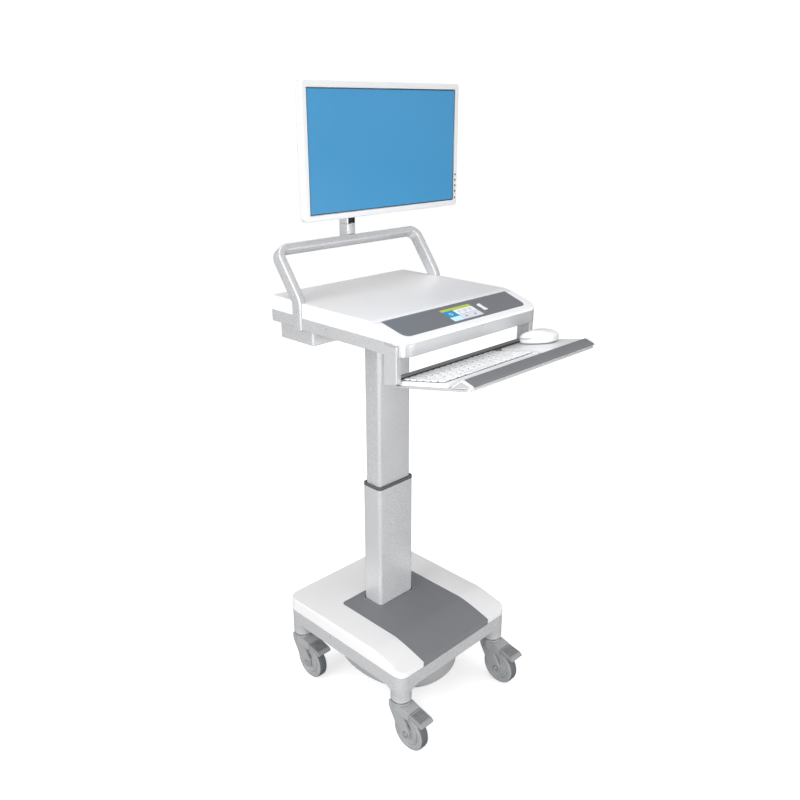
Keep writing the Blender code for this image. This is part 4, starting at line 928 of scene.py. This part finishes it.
def display():
    """The touch display: a header, a two-part block on the left and pale tiles on the right."""
    width, height = DISPLAY_X[1] - DISPLAY_X[0], DISPLAY_Y[1] - DISPLAY_Y[0]
    bm = bmesh.new()
    bm.from_mesh(box(DISPLAY_X, DISPLAY_Y, (-0.0012, GLASS_TOP)))

    def place(u, v):
        return DISPLAY_X[0] + width * u, DISPLAY_Y[0] + height * v

    def flat(points, layer, shade):
        z = GLASS_TOP + PRINT * layer
        face = bm.faces.new([bm.verts.new((*point, z)) for point in points])
        face.material_index = list(DISPLAY_SHADES).index(shade)

    for left, right, near, far, layer, shade in TILES:
        corners = ((left, near), (right, near), (right, far), (left, far))
        flat([place(*corner) for corner in corners], layer, shade)
    for u, v, radius, layer, shade in DISCS:
        x, y = place(u, v)
        turns = [2 * pi * step / 20 for step in range(20)]
        flat([(x + radius * cos(t), y + radius * sin(t)) for t in turns], layer, shade)
    mesh = plain_mesh(bm)
    for name, shade in DISPLAY_SHADES.items():
        mesh.materials.append(glowing("display_" + name, *shade))
    piece("display_glass", on_slope(mesh), name="Touch_display")


def height_rocker():
    """A slightly dished key that rises a little above the panel and pivots at its middle."""
    start, end = ROCKER_HALF - ROCKER_DOWN, -ROCKER_DOWN - ROCKER_HALF
    profile = [(end, -0.0045), (start, -0.0045)]
    for step in range(13):
        share = step / 12
        dish = 0.0009 * sin(pi * share)
        profile.append((start + (end - start) * share, 0.0016 - dish))
    key = prism(profile, about(ROCKER_X, 0.0055), "X")
    piece("height_rocker", on_slope(key), WHITE, 0.0009, 3)


# --- handle
BAR_LEAN = radians(36.0)
KINK_Z = 1.1238
KINK_R = 0.05
LEANING_LENGTH = 0.146
STRAIGHT = KINK_Z - HEAD_LOW.z - KINK_R * tan(BAR_LEAN / 2)
ARCH_TOP = STRAIGHT + KINK_R * BAR_LEAN + LEANING_LENGTH - KINK_R * tan(BAR_LEAN / 2)
ARCH_CORNER = 0.025


def bar_point(x, along, depth):
    """Where a point of the flat arch lands once bent back; along runs up the front face."""
    angle = min(BAR_LEAN, max(0.0, (along - STRAIGHT) / KINK_R))
    beyond = along - STRAIGHT - angle * KINK_R
    inside = KINK_R - depth
    y = LEG_FRONT + KINK_R - inside * cos(angle) + beyond * sin(angle)
    z = HEAD_LOW.z + STRAIGHT + inside * sin(angle) + beyond * cos(angle)
    return Vector((x, y, z))


def handle_loop():
    """A flat bar with rounded edges, swept round the arch in the flat and then bent back."""
    half = BAR_THICKNESS / 2
    side, top = LEG_OUTER - half, ARCH_TOP - half
    path = [Vector((-side, 0.0005)), Vector((-side, STRAIGHT))]
    for step in range(1, 13):
        path.append(Vector((-side, STRAIGHT + KINK_R * BAR_LEAN * step / 12)))
    path.append(Vector((-side, top - ARCH_CORNER - 0.01)))
    for step in range(13):
        angle = pi / 2 * step / 12
        x, drop = ARCH_CORNER * (1 - cos(angle)), ARCH_CORNER * (1 - sin(angle))
        path.append(Vector((x - side, top - drop)))
    path += [Vector((x, top)) for x in (-0.12, -0.06, 0.0)]
    path += [Vector((-point.x, point.y)) for point in reversed(path[:-1])]
    section = rectangle((-half, half), (0.0, BAR_DEPTH), 0.0045, 6)
    rings = []
    for index, point in enumerate(path):
        before = path[max(index - 1, 0)]
        after = path[min(index + 1, len(path) - 1)]
        run = (after - before).normalized()
        across = Vector((-run.y, run.x))
        rings.append([bar_point(*(point + across * a), depth) for a, depth in section])
    piece("handle_loop", loft(rings), SILVER, angle=40.0)


def electronics_box():
    low, high = local_box("electronics_box")
    outline = fillet(mirrored([(high.x, low.y, 0.006), (high.x, high.y, 0.003)]), 8)
    case = prism(outline, (low.z, high.z))
    cuts = [box(both(0.0585), both(0.029), (low.z - OVER, high.z + OVER))]
    for row in range(7):
        z = low.z + 0.01 + 0.003 * row
        for middle in (-0.12, 0.12):
            y = (high.y - 0.0015, high.y + OVER)
            cuts.append(box(about(middle, 0.03), y, (z, z + 0.0012)))
    piece("electronics_box", carve(case, cuts), SILVER, 0.0015, 3)


def tray_brackets():
    hinge = pivot("tray_tilt")
    for side, node in zip(SIDES, ("tray_bracket_left", "tray_bracket_right")):
        low, high = local_box(node)
        outline = [(low.y, low.z + 0.006, 0.006), (high.y, low.z - 0.0009, 0.004)]
        outline += [(high.y, high.z, 0.001), (low.y, high.z, 0.001)]
        plate = prism(fillet(outline, 6), (low.x, high.x), "X")
        inner = min(abs(low.x), abs(high.x))
        span = sided(side, inner - 0.005, inner + 0.012)
        bore = cylinder(0.00325, span, (0, hinge.y, hinge.z), "X", 32)
        piece(node, carve(plate, [bore]), SILVER, 0.0018, 3)


# --- monitor
BUTTONS = ("menu_button_1", "menu_button_2", "menu_button_3", "menu_button_4", "power_button")
HOUSING_EDGE_Y = 0.019
NECK_HALF = 0.0104
SCREEN_BORDER = 0.0022


def monitor_post():
    low, high = local_box("monitor_post")
    front, back = (bar_point(0.0, ARCH_TOP + 0.0003, depth) for depth in (0.0005, BAR_DEPTH))
    profile = [(low.y, front.z), (back.y, back.z), (high.y, back.z), (high.y, high.z)]
    solid = prism([*profile, (low.y, high.z)], (low.x, high.x), "X")
    solid = round_edges(
        solid, 0.003, 5, lambda a, b: abs(a.z - b.z) > 0.02 and abs(a.y - b.y) < TINY
    )
    centre = (0, pivot("monitor_pan").y, 0)
    socket = cylinder(0.0083, (high.z - 0.018, high.z + OVER), centre, segments=32)
    piece("monitor_post", carve(solid, [socket]), SILVER, 0.0007, 2)


def swivel_head():
    low, high = local_box("monitor_post")
    swivel, tilt = pivot("monitor_pan"), pivot("monitor_tilt")
    base = high.z + 0.0006
    centre = (0, tilt.y, tilt.z)
    upright = prism(plan(low, high, 0.003, steps=5), (base, tilt.z + 0.012))
    pin = cylinder(0.008, (high.z - 0.016, base + 0.002), (0, swivel.y, 0), segments=32)
    neck = box(both(0.0092), (tilt.y, low.y + 0.005), about(tilt.z, 0.01))
    barrel = cylinder(0.0118, both(NECK_HALF), centre, "X", 40)
    hole = cylinder(0.0043, both(0.02), centre, "X", 24)
    slot_z = (base + 0.0004, base + 0.0235)
    slot = box(both(NECK_HALF), (low.y - OVER, low.y + 0.006), slot_z)
    y, z = (low.y - OVER, tilt.y + 0.016), (tilt.z - 0.024, tilt.z + 0.02)
    beside = [box(sided(side, 0.0108, 0.02), y, z) for side in SIDES]
    mesh = carve(carve(upright, beside), [hole, slot], [pin, neck, barrel])
    y, z = (low.y + 0.0004, low.y + 0.0062), (slot_z[0] - 0.0001, slot_z[1] + 0.0002)
    two_tone(mesh, (SILVER, BLACK), inside(both(0.0105), y, z))
    piece("swivel_head", mesh, None, 0.0006, 2)


def monitor_bezel():
    low, high = local_box("monitor_bezel")
    glass_low, glass_high = local_box("lcd_panel")
    through = (low.y - OVER, high.y + OVER)
    rim = prism(rectangle((low.x, high.x), (low.z, high.z), 0.008, 10), (low.y, high.y), "Y")
    rim = round_edges(rim, 0.0022, 5, lies_at(1, low.y))
    x, z = ((glass_low[axis] - 0.0003, glass_high[axis] + 0.0003) for axis in (0, 2))
    cuts = [prism(rectangle(x, z, 0.0006, 2), through, "Y")]
    for name in BUTTONS:
        a, b = local_box(name)
        cuts.append(cylinder(0.0025, through, ((a.x + b.x) / 2, 0, (a.z + b.z) / 2), "Y", 24))
    piece("monitor_bezel", carve(rim, cuts), MONITOR_WHITE, 0.0009, 3)


def monitor_rear_housing():
    low, high = local_box("monitor_rear_housing")
    middle = (low.z + high.z) / 2
    outline = rectangle((low.x, high.x), (low.z, high.z), 0.008, 10)
    shell = prism(outline, (low.y, HOUSING_EDGE_Y), "Y")
    shell = round_edges(shell, 0.004, 5, lies_at(1, HOUSING_EDGE_Y))
    bulge = rectangle(both(0.175), about(middle, 0.098), 0.02, 10)
    bulge = prism(bulge, (HOUSING_EDGE_Y - 0.002, high.y), "Y")
    bulge = round_edges(bulge, 0.014, 6, lies_at(1, high.y))
    cuts = []
    for step in range(8):
        z = about(high.z - 0.0145 - 0.0354 * step, 0.0022)
        for side in SIDES:
            x = sided(side, high.x - 0.0012, high.x + OVER)
            cuts.append(box(x, (low.y - 0.001, low.y + 0.0016), z))
    for row in range(9):
        z = middle + 0.066 + 0.003 * row - 0.012
        for left in (-0.12, 0.005):
            y = (high.y - 0.0022, high.y + OVER)
            cuts.append(box((left, left + 0.115), y, (z, z + 0.0013)))
    shell = carve(shell, cuts, [bulge])
    piece("monitor_rear_housing", shell, MONITOR_WHITE, 0.0004, 2, 40.0)


def lcd_panel():
    low, high = local_box("lcd_panel")
    middle = (low.z + high.z) / 2
    bm = bmesh.new()
    bm.from_mesh(box((low.x, high.x), (low.y, high.y), (low.z, high.z)))
    faces = [face for face in bm.faces if face.calc_center_median().y < low.y + TINY]
    bmesh.ops.inset_individual(bm, faces=faces, thickness=SCREEN_BORDER)
    mesh = plain_mesh(bm)
    lit = glowing("screen_blue", (58, 128, 172), 0.3, 0.25)
    two_tone(mesh, (BLACK, lit), inside(both(1e-3), (-WIDE, low.y + TINY), about(middle, 1e-3)))
    piece("lcd_panel", mesh)


def monitor_buttons():
    """Domed round buttons on short stems."""
    profile = [(0.0006, 0.0001), (0.0006, 0.001), (0.0004, 0.0017), (0.0, 0.002)]
    profile += [(-0.0084, 0.002), (-0.0084, 0.0001)]
    button = lathe(profile, "Y", 32)
    for name in BUTTONS:
        low, high = local_box(name)
        place = ((low.x + high.x) / 2, low.y + 0.0006, (low.z + high.z) / 2)
        piece(name, moved(button, Matrix.Translation(place)), BLACK, angle=50.0)


# --- keyboard tray
# On the tray, -Y is forward and z = 0 is its underside
TRAY_TILT = radians(11.3)
TRAY_POINT = (-0.272, 0.983)
TRAY_HALF = local_box("keyboard_tray")[1].x
FLOOR_Z = 0.0053


def on_tray(mesh):
    mesh.transform(Matrix.Translation((0.0, *TRAY_POINT)) @ Matrix.Rotation(-TRAY_TILT, 4, "X"))
    return mesh


def keyboard_tray():
    outline = mirrored([(TRAY_HALF, -0.192, 0.012), (TRAY_HALF, 0.032, 0.001)])
    piece("keyboard_tray", on_tray(prism(fillet(outline, 8), (0.0, 0.005))), SILVER, 0.0014, 3)


def tray_back_rail():
    high = local_box("tray_back_rail")[1]
    rail = box(both(TRAY_HALF), (0.018, 0.031), (FLOOR_Z, 0.0209))
    pins = [
        cylinder(0.003, sided(side, 0.21, high.x), (0, 0.0245, 0.0125), "X", 32)
        for side in SIDES
    ]
    groove = box(both(TRAY_HALF - 0.006), (0.01, 0.019), (0.0128, 0.0166))
    mesh = carve(rail, [groove], pins)
    # The groove's faces take the dark grey as painted shade.
    groove_painted_shade = inside(both(TRAY_HALF - 0.005), (0.0181, 0.0192), (0.0126, 0.0168))
    two_tone(mesh, (RAIL_GREY, RAIL_GROOVE_PAINTED_SHADE), groove_painted_shade)
    piece("tray_back_rail", on_tray(mesh), None, 0.0007, 2)


def tray_front_lip():
    slope = [(-0.14, FLOOR_Z), (-0.17, 0.0189), (-0.1915, 0.0068), (-0.1915, FLOOR_Z)]
    cap = [(-0.138, FLOOR_Z, 0), (-0.1727, 0.024, 0.0035), (-0.1975, 0.0105, 0.0025)]
    cap = fillet([*cap, (-0.1945, FLOOR_Z, 0.001)], 6)
    dish = [(-0.1475, 0.008, 0), (-0.1722, 0.0208, 0.002), (-0.1925, 0.0098, 0.001)]
    dish = fillet([*dish, (-0.1915, 0.008, 0)], 4)
    caps, cuts = [], []
    for side in SIDES:
        caps.append(prism(cap, sided(side, 0.215, TRAY_HALF), "X"))
        cuts.append(prism(dish, sided(side, TRAY_HALF - 0.0018, TRAY_HALF + OVER), "X"))
        x = sided(side, TRAY_HALF - 0.003, TRAY_HALF + OVER)
        cuts.append(box(x, (-0.186, -0.136), (FLOOR_Z - 0.001, FLOOR_Z + 0.0014)))
    mesh = carve(carve(prism(slope, both(TRAY_HALF), "X"), [], caps), cuts)
    # The end dishes and the slots under them are painted silver grey as shade in the recesses.
    two_tone(
        mesh,
        (WHITE, SILVER),
        lambda c, top: TRAY_HALF - 0.0032 < abs(c.x) < TRAY_HALF - 0.0002 and c.z < 0.0205,
    )
    piece("tray_front_lip", on_tray(mesh), None, 0.0005, 2)


def wrist_rest():
    """A vinyl pad on the lip's slope, slightly swollen and softly gathered at its ends."""
    back_low, back_high = (-0.1704, 0.0193), Vector((-0.1724, 0.0238))
    front_high, front_low = Vector((-0.1952, 0.0113)), (-0.1929, 0.0068)
    outward = Vector((-0.48, 0.88)).normalized()
    reach, columns, across = 0.2146, 64, 16
    rings = []
    for step in range(columns + 1):
        share = step / columns
        x = -reach + 2 * reach * share
        end = min(share, 1 - share) * columns / 3
        fullness = sin(min(1.0, end) * pi / 2) ** 0.6
        ring = [Vector((x, *back_low))]
        for point in range(across + 1):
            part = point / across
            swell = 0.0011 * fullness * sin(pi * part) ** 0.7
            gather = 0.0008 * (1 - fullness) + 0.0008 * abs(2 * part - 1) ** 8
            place = back_high.lerp(front_high, part) + outward * (swell - gather)
            ring.append(Vector((x, *place)))
        ring.append(Vector((x, *front_low)))
        rings.append(ring)
    piece("wrist_rest", on_tray(loft(rings)), PAD_DARK, angle=60.0)


def mouse_platform():
    block = rectangle((0.095, 0.214), (-0.164, -0.018), 0.004, 6)
    wedge = [(-0.137, 0.0), (-0.137, 0.0046), (-0.17, 0.0205), (-0.2, 0.03), (-0.2, 0.0)]
    block = carve(prism(block, (FLOOR_Z, PAD_TOP)), [prism(wedge, (0.08, 0.23), "X")])
    # The platform takes the darker white that is painted shade on the base cover.
    piece("mouse_platform", on_tray(block), BASE_WHITE_PAINTED_SHADE, 0.0012, 3)


# --- keyboard
KEYBOARD_X = (-0.22, 0.0935)
KEYBOARD_Y = (-0.1305, 0.0105)
ONE = (1.0,)
KEY_ROWS = (
    ONE * 16,
    (*ONE * 13, 2.0, 1.0),
    (1.5, *ONE * 12, 1.5, 1.0),
    (1.75, *ONE * 11, 2.25, 1.0),
    (2.25, *ONE * 10, 1.75, 1.0, 1.0),
    (1.25, 1.25, 1.25, 5.25, *ONE * 7),
)
KEY_LOW, KEY_HIGH = 0.0113, 0.018
KEY_INSET = 0.0007
# The caps' shaded share takes the key gap's dark grey, a painted shade.
KEY_SHADE = 0.6  # the share of a cap's height that is shaded by its neighbours


def keyboard_case():
    block = prism(rectangle(KEYBOARD_X, KEYBOARD_Y, 0.006, 6), (FLOOR_Z, 0.015))
    x = (KEYBOARD_X[0] + 0.005, KEYBOARD_X[1] - 0.005)
    y = (KEYBOARD_Y[0] + 0.012, KEYBOARD_Y[1] - 0.006)
    well = prism(rectangle(x, y, 0.002, 4), (0.0075, 0.03))
    piece("keyboard_case", on_tray(carve(block, [well])), WHITE, 0.0011, 3)


def key_cap(x, y, high):
    """A tapered cap with a shallow dish in its top."""
    shaded = KEY_LOW + (high - KEY_LOW) * KEY_SHADE
    levels = ((0.0, KEY_LOW, 0.0018), (0.0014, shaded, 0.0018), (0.0024, high - 0.0006, 0.0018))
    levels += ((0.003, high, 0.0018), (0.0054, high - 0.0004, 0.002))
    rings = []
    for inset, height, radius in levels:
        outline = rectangle((x[0] + inset, x[1] - inset), (y[0] + inset, y[1] - inset), radius, 3)
        rings.append([Vector((*point, height)) for point in outline])
    return loft(rings)


def keyboard_keys():
    x = (KEYBOARD_X[0] + 0.0058, KEYBOARD_X[1] - 0.0058)
    y = (KEYBOARD_Y[0] + 0.0128, KEYBOARD_Y[1] - 0.0068)
    unit, pitch = (x[1] - x[0]) / 16, (y[1] - y[0]) / len(KEY_ROWS)
    meshes = [box(x, y, (0.0101, 0.0115))]
    for row, widths in enumerate(KEY_ROWS):
        back, left = y[1] - pitch * row, x[0]
        lift = 0.0004 * abs(row - 2.5) / 2.5
        for width in widths:
            right = left + unit * width
            across = (left + KEY_INSET, right - KEY_INSET)
            along = (back - pitch + KEY_INSET, back - KEY_INSET)
            meshes.append(key_cap(across, along, KEY_HIGH + lift))
            left = right
    bm = bmesh.new()
    for mesh in meshes:
        bm.from_mesh(mesh)
    keys = plain_mesh(bm)
    # The plate and the caps' lower sides below this level are painted dark as shade between the
    # keys.
    shaded = KEY_LOW + 0.0072 * KEY_SHADE
    two_tone(keys, (KEY_WHITE, KEY_GAP_PAINTED_SHADE), lambda c, top: top < shaded)
    piece("keyboard_keys", on_tray(keys), angle=45.0)


# --- mouse
MOUSE_YAW = radians(8.0)
MOUSE_SIZE = (0.056, 0.092, 0.032)
MOUSE_SPLIT = 0.006
PAD_TOP = 0.0212


def on_pad(mesh):
    place = Matrix.Translation((0.1675, -0.0765, PAD_TOP + 0.0003))
    mesh.transform(place @ Matrix.Rotation(MOUSE_YAW, 4, "Z"))
    return on_tray(mesh)


def mouse_form():
    """The mouse's whole outer form, nose towards +Y, standing on z = 0."""
    bm = bmesh.new()
    bmesh.ops.create_cube(bm, size=1.0)
    bmesh.ops.subdivide_edges(bm, edges=bm.edges[:], cuts=1, use_grid_fill=True)
    width, length, height = MOUSE_SIZE
    for vertex in bm.verts:
        x, y, z = vertex.co
        rise = height * (1.2 if z > 0.4 else 0.45 if z > -0.1 else 0.0)
        if z > 0.4:
            rise *= 1.1 if abs(y) < 0.1 else 0.7
        waist = 0.8 if y > 0.4 else 1.0 if y > -0.1 else 0.84
        vertex.co = (x * width * waist, y * length, rise)
    cage = placed("temporary", mesh_from(bm))
    smooth = cage.modifiers.new("subdivision", "SUBSURF")
    smooth.levels = smooth.render_levels = 5
    mesh = evaluated(cage)
    axes = list(zip(*(vertex.co for vertex in mesh.vertices)))
    sizes = [wanted / (max(axis) - min(axis)) for wanted, axis in zip(MOUSE_SIZE, axes)]
    down = Matrix.Translation((0.0, 0.0, -min(axes[2])))
    mesh.transform(Matrix.Diagonal((*sizes, 1.0)) @ down)
    return mesh


def mouse():
    slot = box(both(0.0042), (0.017, 0.038), (0.009, 0.06))
    front = box(both(0.06), (MOUSE_SPLIT, 0.09), (0.0133, 0.08))
    shell = carve(mouse_form(), [front, slot.copy()])
    piece("mouse_body", on_pad(shell), MOUSE_WHITE, 0.0005, 3, 40.0)
    for side, node in zip(SIDES, ("mouse_button_left", "mouse_button_right")):
        keep = box(sided(side, 0.0003, 0.06), (MOUSE_SPLIT + 0.0006, 0.09), (0.0148, 0.08))
        cap = carve(mouse_form(), [slot.copy()], (), keep)
        piece(node, on_pad(cap), MOUSE_WHITE, 0.0005, 3, 40.0)
    profile = [(-0.003, 0.002), (-0.003, 0.0068), (-0.002, 0.0076), (0.0, 0.0078)]
    profile += [(0.002, 0.0076), (0.003, 0.0068), (0.003, 0.002)]
    wheel = lathe(profile, "X", 48, (0, 0.0275, 0.02))
    piece("mouse_wheel", on_pad(wheel), DARK, angle=40.0)


# --- carried-over CAD nodes
CARRIED_OVER = {
    "battery_pack": (BLACK, 0.001),
    "counterweight": (CASTING, 0.0015),
    "lift_actuator": (BLACK, 0.0005),
    "lift_rod": (STEEL, 0.0004),
    "head_mount_plate": (STEEL, 0.0008),
    "column_glide_sleeve": (BLACK, 0.0002),
    "tilt_bracket": (BLACK, 0.0005),
}


def dress_carried_over():
    for node, (material, bevel) in CARRIED_OVER.items():
        obj = frame["nodes"][node]
        obj.data.materials.clear()
        obj.data.materials.append(material)
        soften(obj, bevel, 2, 35)


# --- stage
LAMPS = (
    ("Key_left", (-3.0, 0.2, 1.5), (0, 0, 0.7), (2.2, 2.2), 50),
    ("Fill_front", (0.9, -3.4, 0.45), (0, 0, 0.55), (2.4, 0.8), 38),
    ("Strip_camera", (-2.3, -2.3, 1.3), (0, 0, 0.8), (0.4, 2.4), 50),
    ("Top_soft", (0.2, 0.6, 4.2), (0, 0, 0.8), (3.0, 3.0), 42),
)


def floor_material():
    """A pale floor, bright to the camera, that throws little light up under the cart."""
    shader = Shader("floor_pale")
    fine = shader.remap(shader.noise(300.0), 0.99, 1.0)
    seen = shader.add("LightPath", {}, "Is Camera Ray")
    dim, bright = ((*srgb((level,) * 3), 1.0) for level in (150, 252))
    shade = shader.scaled(shader.mix(seen, dim, bright), fine)
    return shader.finish(
        Base_Color=shade,
        Roughness=0.8,
        Specular_IOR_Level=0.1,
        Emission_Color=(1.0, 1.0, 1.0, 1.0),
        Emission_Strength=shader.times(seen, 0.42),
    )


def studio_world():
    """Soft light all round, strongest from the cart's left, before a plain white backdrop."""
    world = bpy.data.worlds.new("studio")
    bpy.context.scene.world = world
    world.use_nodes = True
    nodes = Nodes(world.node_tree)
    weights = {0: nodes.add("TexCoord", {}, "Generated"), 1: (-0.3, -0.24, 0.0)}
    weighed = nodes.add("VectorMath", weights, "Value", operation="DOT_PRODUCT")
    level = nodes.add("Math", {0: weighed, 1: 0.62}, 0, operation="ADD")
    seen = nodes.add("LightPath", {}, "Is Camera Ray")
    strength = nodes.add("Mix", {0: seen, 2: level, 3: 1.05}, 0)
    background = nodes.tree.nodes["Background"]
    nodes.fill(background, {"Color": (1.0, 1.0, 1.0, 1.0), "Strength": strength})


def stage():
    bm = bmesh.new()
    bmesh.ops.create_grid(bm, x_segments=1, y_segments=1, size=60.0)
    floor = placed("Floor", plain_mesh(bm))
    floor.location.z = cad_low.z - 0.0005
    floor.data.materials.append(floor_material())
    studio_world()
    for name, place, target, size, power in LAMPS:
        light = bpy.data.lights.new(name, "AREA")
        light.shape = "RECTANGLE"
        light.size, light.size_y = size
        light.energy = power
        lamp = placed(name, light)
        lamp.location = place
        aim = (Vector(target) - Vector(place)).to_track_quat("-Z", "Y")
        lamp.rotation_euler = aim.to_euler()

    camera = placed("Camera", bpy.data.cameras.new("Camera"))
    camera.data.sensor_width = 36.0
    camera.data.lens = 36.17
    camera.location = (-1.3557, -1.4033 + COLUMN_Y, 1.5437)
    camera.rotation_euler = (radians(69.885), 0.0, radians(-44.946))
    bpy.context.scene.camera = camera
    bpy.context.scene.view_settings.view_transform = "Standard"


for build in (
    *(base_frame, base_cover, base_centre_cover, underpan, casters, column),
    *(head_frame, top_cover, control_panel, display, height_rocker),
    *(handle_loop, electronics_box, tray_brackets, monitor_post, swivel_head),
    *(monitor_bezel, monitor_rear_housing, lcd_panel, monitor_buttons),
    *(keyboard_tray, tray_back_rail, tray_front_lip, wrist_rest, mouse_platform),
    *(keyboard_case, keyboard_keys, mouse, dress_carried_over, stage),
):
    build()
